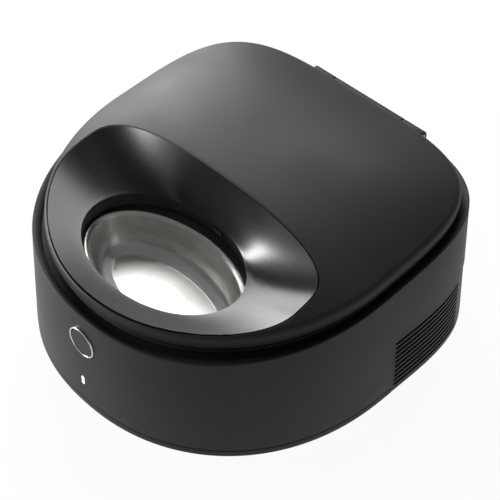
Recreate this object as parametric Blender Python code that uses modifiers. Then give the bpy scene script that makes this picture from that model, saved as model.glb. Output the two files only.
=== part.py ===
"""Refrigerated pet feeder: a cooled tub with a turning tray of bowls under a hinged, scooped lid.

Metres, +Z up, front towards -Y. The origin lies on the floor under the middle of the body.
"""
import math
from collections import namedtuple

import bmesh
import bpy
from mathutils import Matrix, Vector

Outline = namedtuple("Outline", "half_width front front_power rear rear_power")

# General clearances and counts
GAP = 0.0003
OVERRUN = 0.004
MERGE = 0.00001
OUTLINE_POINTS = 44
SMOOTH_ANGLE = math.radians(30)

# Body outline in plan, about the tray's turning axis
AXIS_Y = 0.0075
BODY_HALF_WIDTH = 0.145
DEPTH_EXTRA = 0.0005
BODY_FRONT = BODY_HALF_WIDTH + AXIS_Y + DEPTH_EXTRA
BODY_FRONT_POWER = 2.178
BODY_REAR = BODY_HALF_WIDTH - AXIS_Y + DEPTH_EXTRA
BODY_REAR_POWER = 3.88
BODY = Outline(BODY_HALF_WIDTH, BODY_FRONT, BODY_FRONT_POWER, BODY_REAR, BODY_REAR_POWER)
REAR_FACE = AXIS_Y + BODY_REAR

# Outer shell
WALL = 0.003
DRAFT = 0.005
RIM_LEVEL = 0.106
RIM_SLOPE = 0.0928
RIM_ROUND = 0.0008
LIP_WIDTH = 0.006
LIP_FALL = 0.0024
# Steps of the lip's curve: share of its width, then share of its fall
LIP_SHARES = ((0.15, 0.0), (0.45, 0.2), (0.75, 0.55), (1.0, 1.0))
LIP_DEPTH = 0.0035
LIP_CHAMFER = 0.002
RIM_AT_REAR = RIM_LEVEL + RIM_SLOPE * REAR_FACE

# Bottom cover
FOOT_LIFT = 0.002
COVER_FLOOR = 0.003
COVER_CHAMFER = 0.0012
BAND_TOP = 0.0082
SEAM = 0.0006
TONGUE_CLEARANCE = 0.0005
TONGUE_INSET = WALL - DRAFT + TONGUE_CLEARANCE
TONGUE_WIDTH = 0.002
TONGUE_RISE = 0.0038
FLOOR_TOP = FOOT_LIFT + COVER_FLOOR
SHELL_BOTTOM = BAND_TOP + SEAM

# Feet
FOOT_RADIUS = 0.008
FOOT_POCKET = 0.0016
FOOT_FRONT_SIDE_INSET = 0.050
FOOT_FRONT_INSET = 0.070
FOOT_REAR_SIDE_INSET = 0.047
FOOT_REAR_INSET = 0.037
FOOT_FRONT_X = BODY_HALF_WIDTH - FOOT_FRONT_SIDE_INSET
FOOT_FRONT_Y = FOOT_FRONT_INSET - BODY_HALF_WIDTH
FOOT_REAR_X = BODY_HALF_WIDTH - FOOT_REAR_SIDE_INSET
FOOT_REAR_Y = REAR_FACE - FOOT_REAR_INSET

# Base screws and the shell bosses that take them
SCREW_RADIUS = 0.0015
SCREW_HOLE = 0.0018
SCREW_HEAD_RADIUS = 0.003
SCREW_HEAD_HEIGHT = 0.0015
SCREW_RECESS = 0.002
SCREW_REACH = 0.02
BOSS_RADIUS = 0.005
BOSS_HEIGHT = 0.022
BOSS_SINK = 0.001
BOSS_INSET = WALL - DRAFT + BOSS_RADIUS - BOSS_SINK
# Directions of the bosses on the right, from the turning axis
BOSS_ANGLES = (math.radians(-9), math.radians(56.5))

# Vent grilles
VENT_FRONT_Y = 0.0187
VENT_REACH = 0.037
VENT_INNER_X = BODY_HALF_WIDTH - VENT_REACH
VENT_TOP = 0.061
VENT_CORNER = 0.010
VENT_CORNER_STEPS = 6
VENT_RECESS = 0.0005
VENT_BOTTOM = 0.0026
SLOT_COUNT = 10
SLOT_HEIGHT = 0.0027
SLOT_PITCH = 0.0048
SLOT_LOWEST = 0.0078
SLOT_FRONT_MARGIN = 0.003
SLOT_REAR_MARGIN = 0.045
SLOT_REAR_Y = REAR_FACE - SLOT_REAR_MARGIN
SLOT_REACH = 0.024
SLOT_INNER_X = BODY_HALF_WIDTH - SLOT_REACH

# Chamber liner (tub) and foam jacket
LINER_INSET = 0.018
LINER_RADIUS = BODY_HALF_WIDTH - LINER_INSET
LINER_WALL = 0.0025
LINER_BOTTOM = 0.046
LINER_FLOOR = 0.0025
LINER_CORNER = 0.003
LINER_SEGMENTS = 40
JACKET_INSET = 0.008
JACKET_FRONT_INSET = 0.015
JACKET_REAR_POWER = 3.2
JACKET_FLOOR = 0.0077
JACKET_TOP_GAP = 0.0015
JACKET = Outline(BODY_HALF_WIDTH - JACKET_INSET, BODY_FRONT - JACKET_FRONT_INSET, BODY_FRONT_POWER,
                 BODY_REAR - JACKET_INSET, JACKET_REAR_POWER)
LINER_FLOOR_TOP = LINER_BOTTOM + LINER_FLOOR

# Deck between body and lid
DECK_DROP = 0.0034
DECK_LEVEL = RIM_LEVEL - DECK_DROP
DECK_THICKNESS = 0.003
DECK_OVERHANG = 0.0012
DECK_OPENING = LINER_RADIUS - LINER_WALL - DECK_OVERHANG
DECK_SEGMENTS = 40
LINER_TOP = DECK_LEVEL - DECK_THICKNESS - GAP
LINER_TOP_AT_FRONT = LINER_TOP + RIM_SLOPE * (AXIS_Y - LINER_RADIUS + LINER_WALL)

# Drive: spindle, gears, motor
SPINDLE_RADIUS = 0.004
SPINDLE_BOTTOM = 0.0142
SPINDLE_TOP = 0.060
BEARING_RADIUS = 0.007
BEARING_FLANGE = 0.010
BEARING_FLANGE_THICKNESS = 0.0014
LOWER_BOSS_RADIUS = 0.008
LOWER_BOSS_TOP = 0.022
ADDENDUM_SHARE = 0.75
DEDENDUM_SHARE = 1.15
GEAR_MODULE = 0.0015
GEAR_TEETH = 48
PINION_TEETH = 12
GEAR_TIP = GEAR_MODULE * (GEAR_TEETH / 2 + ADDENDUM_SHARE)
GEAR_BOTTOM = 0.028
GEAR_WIDTH = 0.006
GEAR_RIM_HOLE = 0.008
GEAR_RIM_HOLE_CIRCLE = 0.021
GEAR_RIM_HOLES = 4
TIP_SHARE = 0.20
ROOT_SHARE = 0.60
PINION_SHAFT_RADIUS = 0.0025
PINION_SHAFT_DEPTH = 0.0075
MOTOR_ANGLE = math.radians(225)
MOTOR_RADIUS = 0.016
MOTOR_BOTTOM = 0.007
MOTOR_TOP = 0.024
MOTOR_BOSS_RADIUS = 0.005
MOTOR_BOSS_HEIGHT = 0.0025
BRACKET_LENGTH = 0.056
BRACKET_WIDTH = 0.014
BRACKET_THICKNESS = 0.002
BRACKET_POST = 0.0035
BRACKET_POST_OFFSET = 0.0225

# Cooler: cold plate, thermoelectric module, heat sink, fan
SINK_GEAR_CLEARANCE = 0.011375
SINK_LINER_INSET = 0.0185
SINK_NEAR = GEAR_TIP + SINK_GEAR_CLEARANCE
SINK_FAR = LINER_RADIUS - SINK_LINER_INSET
SINK_X = 0.084
SINK_Y = SINK_FAR - SINK_NEAR
COOLER_Y = AXIS_Y + (SINK_NEAR + SINK_FAR) / 2
COLD_PLATE_STEP = 0.004
COLD_PLATE_X = SINK_X - COLD_PLATE_STEP
COLD_PLATE_Y = SINK_Y - COLD_PLATE_STEP
COLD_PLATE_THICKNESS = 0.004
COLD_PLATE_PROUD = 0.001
MODULE_MARGIN = 0.008
MODULE_SIDE = COLD_PLATE_Y - 2 * MODULE_MARGIN
MODULE_THICKNESS = 0.0036
SINK_BASE = 0.004
SINK_FIN_HEIGHT = 0.0175
SINK_FIN = 0.0016
SINK_FIN_COUNT = 11
SINK_MARGIN = 0.001
FAN_SIDE = 0.060
FAN_HEIGHT = 0.012
FAN_BORE = 0.028
FAN_HUB = 0.0125
FAN_HUB_PLATE = 0.013
FAN_HUB_PLATE_THICKNESS = 0.0018
FAN_STRUT = 0.004
FAN_STRUTS = 3
FAN_STRUT_THICKNESS = 0.0016
FAN_BLADES = 7
FAN_BLADE_TIP = 0.027
FAN_BLADE_ROOT = 0.0012
FAN_BLADE_CHORD = 0.012
FAN_BLADE_THICKNESS = 0.0012
FAN_BLADE_ANGLE = math.radians(35)
FAN_SCREW_OFFSET = 0.025
FAN_SCREW_HEAD = 0.001
INTAKE_COUNT = 8
INTAKE_LENGTH = 0.044
INTAKE_WIDTH = 0.003
INTAKE_PITCH = 0.0055

# Turntable
TURNTABLE_RADIUS = 0.050
TURNTABLE_THICKNESS = 0.003
HUB_RADIUS = 0.011
HUB_TOP = 0.066
HUB_SIDES = 6

# Food tray and bowls
TRAY_CLEARANCE = 0.002
TRAY_RADIUS = LINER_RADIUS - LINER_WALL - TRAY_CLEARANCE
TRAY_TOP = 0.0848
TRAY_THICKNESS = 0.0025
TRAY_SKIRT_BOTTOM = 0.0746
TRAY_SKIRT_WALL = 0.002
TRAY_COLUMN = 0.015
TRAY_RIB_THICKNESS = 0.002
TRAY_SEGMENTS = 40
# The bowl's rim: its half length and half width as shares of the tray's radius
BOWL_LENGTH_SHARE = 0.603
BOWL_WIDTH_SHARE = 0.361
BOWL_EDGE_MARGIN = 0.0019
BOWL_HALF_LENGTH = TRAY_RADIUS * BOWL_LENGTH_SHARE
BOWL_HALF_WIDTH = TRAY_RADIUS * BOWL_WIDTH_SHARE
BOWL_CIRCLE = TRAY_RADIUS - BOWL_EDGE_MARGIN - BOWL_HALF_WIDTH
BOWL_POINTS = 36
BOWL_SHEET = 0.001
BOWL_FLANGE = 0.0032
BOWL_RIM_RISE = 0.002
BOWL_RIM_TOP = TRAY_TOP + BOWL_RIM_RISE
BOWL_DEPTH = 0.031
BLANK_MARGIN = 0.001
BLANK_CHAMFER = 0.001
KNOB_RADIUS = 0.011
KNOB_WAIST = 0.0075
KNOB_HEIGHT = 0.005
# The tray's places in thirds of a turn from the serving hole
TRAY_PLACES = 3
BOWL_PLACES = (0, 1)
BLANK_PLACE = 2
# The bowl's outer wall: inset from the rim, and drop below it as a share of the depth
BOWL_WALL_SHARES = ((0.06, 0.08), (0.115, 0.60), (0.20, 0.88), (0.42, 1.0))

# Lid outline, dome and edge
LID_SIDE_INSET = 0.005
LID_FRONT_INSET = 0.0077
LID_REAR_INSET = 0.0092
LID_FRONT_POWER = 2.03
LID_REAR_POWER = 4.01
LID = Outline(BODY_HALF_WIDTH - LID_SIDE_INSET, BODY_FRONT - LID_FRONT_INSET, LID_FRONT_POWER,
              BODY_REAR - LID_REAR_INSET, LID_REAR_POWER)
LID_SLOPE = 0.0944
LID_RISE = 0.0051
LID_LOW = RIM_LEVEL + LID_RISE
LID_EDGE = 0.0095
LID_DOME = 0.0242
LID_DOME_POWER = 2.3
LID_WALL = 0.0025
LID_EDGE_ROUND = 0.0036
DOME_SHARES = (0.975, 0.93, 0.82, 0.65, 0.45, 0.2)
UNDER_DOME_SHARES = (0.9, 0.65, 0.3)

# Scoop in the lid, and the serving hole
HOLE_Y = AXIS_Y - BOWL_CIRCLE
HOLE_END_INSET = 0.0029
HOLE_SIDE_MARGIN = 0.0032
HOLE_DROP = 0.003
HOLE_HALF_LENGTH = BOWL_HALF_LENGTH - HOLE_END_INSET
HOLE_HALF_WIDTH = BOWL_HALF_WIDTH + HOLE_SIDE_MARGIN
HOLE_LEVEL = RIM_LEVEL - HOLE_DROP
SCOOP_BACK_SHIFT = 0.0151
SCOOP_SIDE_REACH = 0.0469
SCOOP_FRONT_REACH = 0.0388
SCOOP_REAR_INSET = 0.0067
SCOOP_Y = HOLE_Y + SCOOP_BACK_SHIFT
SCOOP_HALF_WIDTH = HOLE_HALF_LENGTH + SCOOP_SIDE_REACH
SCOOP_FRONT = HOLE_HALF_WIDTH + SCOOP_FRONT_REACH
SCOOP_FRONT_POWER = 1.707
SCOOP_REAR = HOLE_HALF_WIDTH - SCOOP_REAR_INSET
SCOOP_REAR_POWER = 4.35
SCOOP = Outline(SCOOP_HALF_WIDTH, SCOOP_FRONT, SCOOP_FRONT_POWER, SCOOP_REAR, SCOOP_REAR_POWER)
SCOOP_LID_MARGIN = 0.0022
SCOOP_GAP = 0.0009
SCOOP_POINTS = 48
SCOOP_CURVE_POWER = 1.12
SCOOP_SHEET = 0.002
SCOOP_EDGE = 0.0045
SCOOP_SHARES = (0.0, 0.2, 0.5, 0.8, 1.0)
SCOOP_UNDER_SHARES = (0.1, 0.45, 0.8)
SEAL_CLEARANCE = 0.002
SEAL_WIDTH = 0.003
SEAL_HEIGHT = 0.0017
SEAL_BOTTOM = LINER_TOP_AT_FRONT + SEAL_CLEARANCE
COLLAR_BOTTOM = SEAL_BOTTOM + SEAL_HEIGHT + GAP
COLLAR_LIP = 0.0042
COLLAR_RELIEF = 0.0012
COLLAR_WALL = 0.002
COLLAR_OUTER = COLLAR_RELIEF + COLLAR_WALL
COLLAR_CLEARANCE = 0.0023
DECK_RELIEF = COLLAR_OUTER + COLLAR_CLEARANCE
BLANK_CLEARANCE = 0.001

# Lid liner (inner pan), foam, gasket
PLUG_INSET = 0.0073
PLUG_FRONT_EXTRA = 0.014
PLUG_RADIUS = DECK_OPENING - PLUG_INSET
PLUG_POWER = 2.0
PLUG = Outline(PLUG_RADIUS, PLUG_RADIUS + PLUG_FRONT_EXTRA, PLUG_POWER, PLUG_RADIUS, PLUG_POWER)
PLUG_RISE = 0.0064
PLUG_BOTTOM = LINER_TOP_AT_FRONT + PLUG_RISE
PAN_SHEET = 0.0014
PAN_CLEAR = 0.0004
SKIRT_WIDTH = 0.0041
SKIRT_TOP_WIDTH = 0.0021
SKIRT_LIFT = 0.0034
SKIRT_ENTRY = 0.0015
PLUG_FLARE = 0.0015
FOAM_INSET = 0.004
FOAM_SCOOP_CLEARANCE = 0.0051
FOAM_FRONT_Y = SCOOP_Y + SCOOP_REAR + FOAM_SCOOP_CLEARANCE
FOAM_RISE = 0.0055
FOAM_TOP = LID_LOW + FOAM_RISE
GASKET_INSET = 0.0029
GASKET_WIDTH = 0.0023

# Hinge at the rear
HINGE_SETBACK = 0.0003
HINGE_DROP = 0.0005
HINGE_Y = REAR_FACE + HINGE_SETBACK
HINGE_Z = RIM_AT_REAR - HINGE_DROP
HINGE_HALF_LENGTH = 0.0575
HINGE_SPLIT = 0.0355
KNUCKLE_RADIUS = 0.0042
PIN_RADIUS = 0.0016
NOTCH_DEPTH = 0.0095
NOTCH_REACH = 0.0083
NOTCH_FLOOR = RIM_AT_REAR - NOTCH_DEPTH
NOTCH_FRONT_Y = REAR_FACE - NOTCH_REACH
LEDGE_SETBACK = 0.0006
LEDGE_FRONT_Y = NOTCH_FRONT_Y + LEDGE_SETBACK
LEDGE_HEIGHT = 0.008
HINGE_PLATE = 0.003
HINGE_PLATE_CLEARANCE = 0.0004
HINGE_PLATE_FRONT_Y = NOTCH_FRONT_Y + HINGE_PLATE_CLEARANCE
HINGE_WEB = 0.0042
HINGE_SCREW_X = 0.020
HINGE_SCREW_INSET = 0.004
HINGE_SCREW_Y = REAR_FACE - HINGE_SCREW_INSET
ARM_FRONT_Y = AXIS_Y + LID.rear - LID_WALL - PAN_CLEAR + GAP
ARM_THICKNESS = 0.0034
ARM_HALF_LENGTH = 0.034

# Magnets that hold the lid shut
MAGNET_RADIUS = 0.004
MAGNET_X = 0.045
MAGNET_SETBACK = 0.027
MAGNET_Y = AXIS_Y - BODY_FRONT + MAGNET_SETBACK
DECK_MAGNET_HEIGHT = 0.0016
LID_MAGNET_HEIGHT = 0.0018

# Button, light window and their board, in the middle of the front
BUTTON_Z = 0.0664
RING_OUTER = 0.013
RING_INNER = 0.0116
RING_PROUD = 0.0007
RING_DEPTH = 0.0058
CAP_PROUD = 0.0001
CAP_FLANGE = 0.0125
CAP_FLANGE_THICKNESS = 0.0012
BUTTON_TRAVEL = 0.001
SWITCH_SIDE = 0.006
SWITCH_BODY = 0.0032
SWITCH_PLUNGER = 0.00175
LIGHT_Z = 0.0273
LIGHT_WIDTH = 0.003
LIGHT_HEIGHT = 0.008
LIGHT_PROUD = 0.0003
BOARD_THICKNESS = 0.0016
FRONT_BOARD_HALF_WIDTH = 0.014
FRONT_BOARD_BOTTOM = 0.0085
FRONT_BOARD_RISE = 0.014
FRONT_BOARD_TOP = BUTTON_Z + FRONT_BOARD_RISE
FRONT_BOARD_SETBACK = 0.0129
SLOT_RIB = 0.002
SLOT_RIB_HALF_LENGTH = 0.010
SLOT_RIB_HEIGHT = 0.008
SLOT_RIB_GAP = 0.0004

# Main board and power socket
MAIN_BOARD_X = 0.055
MAIN_BOARD_Y = -0.060
MAIN_BOARD_LENGTH = 0.074
MAIN_BOARD_WIDTH = 0.050
MAIN_BOARD_BOTTOM = 0.009
MAIN_BOARD_POST = 0.0025
MAIN_BOARD_POST_INSET = 0.005
CAPACITOR_RADIUS = 0.005
CAPACITOR_HEIGHT = 0.009
# Each block's middle and half size as shares of the board's half length and width, then its
# height as a share of the board's thickness
BOARD_BLOCK_SHARES = (
    (-0.1, -0.1, 0.18, 0.26, 1.2),
    (0.5, -0.2, 0.15, 0.2, 3.5),
    (-0.65, 0.72, 0.14, 0.14, 4.5),
    (-0.2, 0.72, 0.14, 0.14, 4.5),
    (0.25, 0.72, 0.14, 0.14, 4.5),
    (0.45, 0.3, 0.1, 0.1, 1.0),
)
CAPACITOR_SHARES = (-0.6, -0.4)
# The socket lies midway between the fan and a line inside the body's side
JACK_SIDE_INSET = 0.055
JACK_X = (JACK_SIDE_INSET - BODY_HALF_WIDTH - FAN_SIDE / 2) / 2
JACK_Z = 0.021
JACK_BODY_HALF = 0.007
JACK_BODY_LENGTH = 0.0142
JACK_BODY_CLEARANCE = 0.0013
JACK_BODY_REAR_Y = REAR_FACE - JACK_BODY_CLEARANCE
JACK_BODY_FRONT_Y = JACK_BODY_REAR_Y - JACK_BODY_LENGTH
JACK_BARREL = 0.0045
JACK_PROUD = 0.0026
JACK_BARREL_END_Y = REAR_FACE + JACK_PROUD
JACK_BORE = 0.0028
JACK_BORE_DEPTH = 0.009
JACK_PIN = 0.001
JACK_POST_HALF = 0.006

# Sensors
SENSOR_RADIUS = 0.004
SENSOR_HEIGHT = 0.0035
SENSOR_INSET = 0.037
SENSOR_X = SENSOR_INSET - LINER_RADIUS
LIP_SENSOR_X = 0.008
LIP_SENSOR_WIDTH = 0.008
LIP_SENSOR_THICKNESS = 0.0012
LIP_SENSOR_HEIGHT = 0.0035
LIP_SENSOR_TOP = HOLE_LEVEL - COLLAR_LIP - GAP
LIP_SENSOR_BOTTOM = LIP_SENSOR_TOP - LIP_SENSOR_HEIGHT

MATERIALS = {
    "charcoal_plastic": ((0.060, 0.060, 0.062), 0.55, 0.0),
    "gloss_black": ((0.012, 0.012, 0.013), 0.22, 0.0),
    "black_plastic": ((0.014, 0.014, 0.015), 0.50, 0.0),
    "liner_plastic": ((0.50, 0.51, 0.52), 0.45, 0.0),
    "tray_plastic": ((0.10, 0.10, 0.105), 0.45, 0.0),
    "stainless_steel": ((0.62, 0.61, 0.60), 0.28, 1.0),
    "steel": ((0.45, 0.45, 0.46), 0.35, 1.0),
    "aluminium": ((0.66, 0.67, 0.68), 0.38, 1.0),
    "chrome": ((0.80, 0.80, 0.81), 0.12, 1.0),
    "foam": ((0.70, 0.70, 0.68), 0.95, 0.0),
    "silicone": ((0.020, 0.020, 0.021), 0.70, 0.0),
    "rubber": ((0.016, 0.016, 0.016), 0.85, 0.0),
    "ceramic": ((0.85, 0.85, 0.83), 0.40, 0.0),
    "circuit_board": ((0.02, 0.12, 0.06), 0.40, 0.0),
    "gear_plastic": ((0.78, 0.77, 0.72), 0.45, 0.0),
    "light_window": ((0.92, 0.92, 0.90), 0.30, 0.0),
    "sensor_window": ((0.02, 0.01, 0.02), 0.10, 0.0),
}


def clear_scene():
    for item in list(bpy.data.objects):
        bpy.data.objects.remove(item, do_unlink=True)


def new_collection(name):
    collection = bpy.data.collections.new(name)
    bpy.context.scene.collection.children.link(collection)
    return collection


clear_scene()
PARTS = new_collection("refrigerated_pet_feeder")
CUTTERS = new_collection("cutters")


def material(name):
    found = bpy.data.materials.get(name)
    if found:
        return found
    color, roughness, metallic = MATERIALS[name]
    made = bpy.data.materials.new(name)
    made.use_nodes = True
    shader = made.node_tree.nodes["Principled BSDF"]
    shader.inputs["Base Color"].default_value = (*color, 1.0)
    shader.inputs["Roughness"].default_value = roughness
    shader.inputs["Metallic"].default_value = metallic
    return made


def add_object(name, mesh, finish):
    """Links a mesh as a visible part, or as a cutter where it has no finish."""
    item = bpy.data.objects.new(name, mesh)
    if finish:
        mesh.materials.clear()
        mesh.materials.append(material(finish))
        mesh.shade_smooth()
        mesh.set_sharp_from_angle(angle=SMOOTH_ANGLE)
        PARTS.objects.link(item)
    else:
        item.hide_render = True
        item.display_type = "WIRE"
        CUTTERS.objects.link(item)
    return item


def from_bmesh(name, bm, finish=None):
    bmesh.ops.recalc_face_normals(bm, faces=bm.faces)
    mesh = bpy.data.meshes.new(name)
    bm.to_mesh(mesh)
    bm.free()
    return add_object(name, mesh, finish)


def box(name, low, high, finish=None):
    """A box between two corners."""
    bm = bmesh.new()
    add_box(bm, low, high)
    return from_bmesh(name, bm, finish)


def add_box(bm, low, high, turn=Matrix.Identity(4)):
    low, high = Vector(low), Vector(high)
    size = Matrix.Diagonal((*(high - low), 1.0))
    bmesh.ops.create_cube(bm, size=1.0, matrix=turn @ Matrix.Translation((low + high) / 2) @ size)


def add_cylinder(bm, start, end, radius, segments=24):
    start, end = Vector(start), Vector(end)
    turn = Vector((0, 0, 1)).rotation_difference(end - start).to_matrix().to_4x4()
    place = Matrix.Translation((start + end) / 2) @ turn
    bmesh.ops.create_cone(bm, cap_ends=True, segments=segments, radius1=radius, radius2=radius,
                          depth=(end - start).length, matrix=place)


def cylinder(name, start, end, radius, finish=None, segments=24):
    bm = bmesh.new()
    add_cylinder(bm, start, end, radius, segments)
    return from_bmesh(name, bm, finish)


def turned(name, profile, finish, segments=24, place=(0, 0, 0), closed=False):
    """A profile of (radius, height) points turned about a vertical axis through place."""
    mesh = bpy.data.meshes.new(name)
    points = [(radius, 0, height) for radius, height in profile]
    edges = [(k, k + 1) for k in range(len(points) - 1)]
    if closed:
        edges.append((len(points) - 1, 0))
    mesh.from_pydata(points, edges, [])
    item = add_object(name, mesh, finish)
    item.location = place
    screw = item.modifiers.new("turn", "SCREW")
    screw.steps = segments
    screw.render_steps = segments
    screw.use_merge_vertices = True
    screw.merge_threshold = MERGE
    screw.use_smooth_shade = True
    return item


def flat_prism(name, outlines, thickness, place, finish=None):
    """An outline, with any holes as further outlines, given a thickness along its own Z."""
    curve = bpy.data.curves.new(name, "CURVE")
    curve.dimensions = "2D"
    curve.fill_mode = "BOTH"
    curve.extrude = thickness / 2
    for points in outlines:
        spline = curve.splines.new("POLY")
        spline.points.add(len(points) - 1)
        spline.use_cyclic_u = True
        for knot, (x, y) in zip(spline.points, points):
            knot.co = (x, y, 0, 1)
    item = bpy.data.objects.new(name, curve)
    bpy.context.scene.collection.objects.link(item)
    seen = item.evaluated_get(bpy.context.evaluated_depsgraph_get())
    mesh = bpy.data.meshes.new_from_object(seen)
    bpy.data.objects.remove(item, do_unlink=True)
    bm = bmesh.new()
    bm.from_mesh(mesh)
    bmesh.ops.remove_doubles(bm, verts=bm.verts, dist=MERGE)
    bmesh.ops.transform(bm, matrix=place, verts=bm.verts)
    bpy.data.meshes.remove(mesh)
    return from_bmesh(name, bm, finish)


def loft(name, rings, finish=None, closed=False):
    """A skin over rings of equal counts, capped at both ends or closed into a tube."""
    bm = bmesh.new()
    loops = [[bm.verts.new(point) for point in ring] for ring in rings]
    following = loops[1:] + loops[:1] if closed else loops[1:]
    for one, two in zip(loops, following):
        for k in range(len(one)):
            after = (k + 1) % len(one)
            bm.faces.new((one[k], one[after], two[after], two[k]))
    if not closed:
        bm.faces.new(loops[0])
        bm.faces.new(loops[-1])
    return from_bmesh(name, bm, finish)


def combine(item, other, operation="DIFFERENCE"):
    change = item.modifiers.new(other.name, "BOOLEAN")
    change.operation = operation
    change.object = other
    change.solver = "EXACT"


def cut(item, *others):
    for other in others:
        combine(item, other)


def join(item, *others):
    for other in others:
        combine(item, other, "UNION")


def plan_angles():
    """Directions from the axis that bunch up where the body's outline turns."""
    found = []
    for k in range(OUTLINE_POINTS):
        turn = 2 * math.pi * k / OUTLINE_POINTS
        c, s = math.cos(turn), math.sin(turn)
        depth, power = (BODY_REAR, BODY_REAR_POWER) if s > 0 else (BODY_FRONT, BODY_FRONT_POWER)
        x = math.copysign(abs(c) ** (2 / power), c) * BODY_HALF_WIDTH
        y = math.copysign(abs(s) ** (2 / power), s) * depth
        found.append(math.atan2(y, x))
    return found


ANGLES = plan_angles()


def reach(outline, inset, angle):
    """Distance from an outline's centre to its edge in one direction."""
    c, s = math.cos(angle), math.sin(angle)
    depth, power = (outline.rear, outline.rear_power) if s > 0 else (outline.front, outline.front_power)
    across = abs(c) / (outline.half_width - inset)
    along = abs(s) / (depth - inset)
    return (across ** power + along ** power) ** (-1 / power)


def ring(outline, inset, level, slope=0.0, share=1.0):
    """One ring of a plan outline, on a level that rises towards the rear by slope."""
    points = []
    for angle in ANGLES:
        distance = reach(outline, inset, angle) * share
        x = distance * math.cos(angle)
        y = AXIS_Y + distance * math.sin(angle)
        points.append(Vector((x, y, level + slope * y)))
    return points


def circle(radius, level, slope=0.0, count=LINER_SEGMENTS):
    points = []
    for k in range(count):
        angle = 2 * math.pi * k / count
        y = AXIS_Y + radius * math.sin(angle)
        points.append(Vector((radius * math.cos(angle), y, level + slope * y)))
    return points


def oval(half_length, half_width, level, count=BOWL_POINTS, y=HOLE_Y):
    angles = [2 * math.pi * k / count for k in range(count)]
    return [Vector((half_length * math.cos(a), y + half_width * math.sin(a), level)) for a in angles]


def body_front(height):
    """Y of the shell's outer face in the middle of the front, at a height."""
    top = RIM_LEVEL - RIM_ROUND + RIM_SLOPE * (AXIS_Y - BODY_FRONT)
    share = (height - SHELL_BOTTOM) / (top - SHELL_BOTTOM)
    return AXIS_Y - BODY_FRONT - DRAFT * (1 - share)


FRONT_BOARD_Y = body_front(BUTTON_Z) + FRONT_BOARD_SETBACK


def upright_cylinder(name, x, y, low, high, radius, segments=24, finish=None):
    return cylinder(name, (x, y, low), (x, y, high), radius, finish, segments)


def wall_loft(name, outer, inner, bottom, finish=None):
    """The body's wall between two insets: upright below the seam, slanted from there to the rim."""
    top = RIM_LEVEL - RIM_ROUND
    rings = [ring(BODY, outer - DRAFT, bottom), ring(BODY, outer - DRAFT, SHELL_BOTTOM),
             ring(BODY, outer, top, RIM_SLOPE), ring(BODY, inner, top, RIM_SLOPE),
             ring(BODY, inner - DRAFT, SHELL_BOTTOM), ring(BODY, inner - DRAFT, bottom)]
    return loft(name, rings, finish, closed=True)


def vent_window(name, side, spare):
    """A block seen from the side as the grille's outline, grown or shrunk by spare."""
    front = VENT_FRONT_Y - spare
    top = VENT_TOP + spare
    radius = VENT_CORNER + spare
    rear = REAR_FACE + DRAFT + OVERRUN
    points = [(rear, -OVERRUN), (rear, top)]
    for k in range(VENT_CORNER_STEPS + 1):
        angle = math.pi / 2 * (1 + k / VENT_CORNER_STEPS)
        points.append((front + radius + radius * math.cos(angle), top - radius + radius * math.sin(angle)))
    points.append((front, -OVERRUN))
    inner = VENT_INNER_X - spare
    outer = BODY_HALF_WIDTH + DRAFT + OVERRUN
    axes = Matrix(((0, 0, 1, side * (inner + outer) / 2), (1, 0, 0, 0), (0, 1, 0, 0), (0, 0, 0, 1)))
    return flat_prism(name, [points], outer - inner, axes)


def vent_pocket(name, side):
    """What is cut from the shell and the bottom cover to take a grille."""
    pocket = wall_loft(name, -OVERRUN, WALL + GAP, FOOT_LIFT - OVERRUN)
    combine(pocket, vent_window(name + "_window", side, GAP), "INTERSECT")
    return pocket


def vent_grille(name, side):
    grille = wall_loft(name, VENT_RECESS, WALL, VENT_BOTTOM, "black_plastic")
    combine(grille, vent_window(name + "_shape", side, 0), "INTERSECT")
    slots = bmesh.new()
    ends = sorted((side * SLOT_INNER_X, side * (BODY_HALF_WIDTH + DRAFT + OVERRUN)))
    for k in range(SLOT_COUNT):
        low = SLOT_LOWEST + k * SLOT_PITCH
        add_box(slots, (ends[0], VENT_FRONT_Y + SLOT_FRONT_MARGIN, low),
                (ends[1], SLOT_REAR_Y, low + SLOT_HEIGHT))
    cut(grille, from_bmesh(name + "_slots", slots))


def boss_places():
    places = []
    for angle in BOSS_ANGLES:
        out = reach(BODY, BOSS_INSET, angle)
        places += [(side * out * math.cos(angle), AXIS_Y + out * math.sin(angle)) for side in (-1, 1)]
    return places


def foot_places():
    sides = (("left", -1), ("right", 1))
    front = [("front_" + name, side * FOOT_FRONT_X, FOOT_FRONT_Y) for name, side in sides]
    return front + [("rear_" + name, side * FOOT_REAR_X, FOOT_REAR_Y) for name, side in sides]


def motor_place():
    apart = GEAR_MODULE * (GEAR_TEETH + PINION_TEETH) / 2
    return apart * math.cos(MOTOR_ANGLE), AXIS_Y + apart * math.sin(MOTOR_ANGLE)


def bracket_post_places():
    x, y = motor_place()
    across = MOTOR_ANGLE + math.pi / 2
    dx, dy = BRACKET_POST_OFFSET * math.cos(across), BRACKET_POST_OFFSET * math.sin(across)
    return [(x - dx, y - dy), (x + dx, y + dy)]


def main_board_post_places():
    dx = MAIN_BOARD_LENGTH / 2 - MAIN_BOARD_POST_INSET
    dy = MAIN_BOARD_WIDTH / 2 - MAIN_BOARD_POST_INSET
    return [(MAIN_BOARD_X + a * dx, MAIN_BOARD_Y + b * dy) for a in (-1, 1) for b in (-1, 1)]


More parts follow.
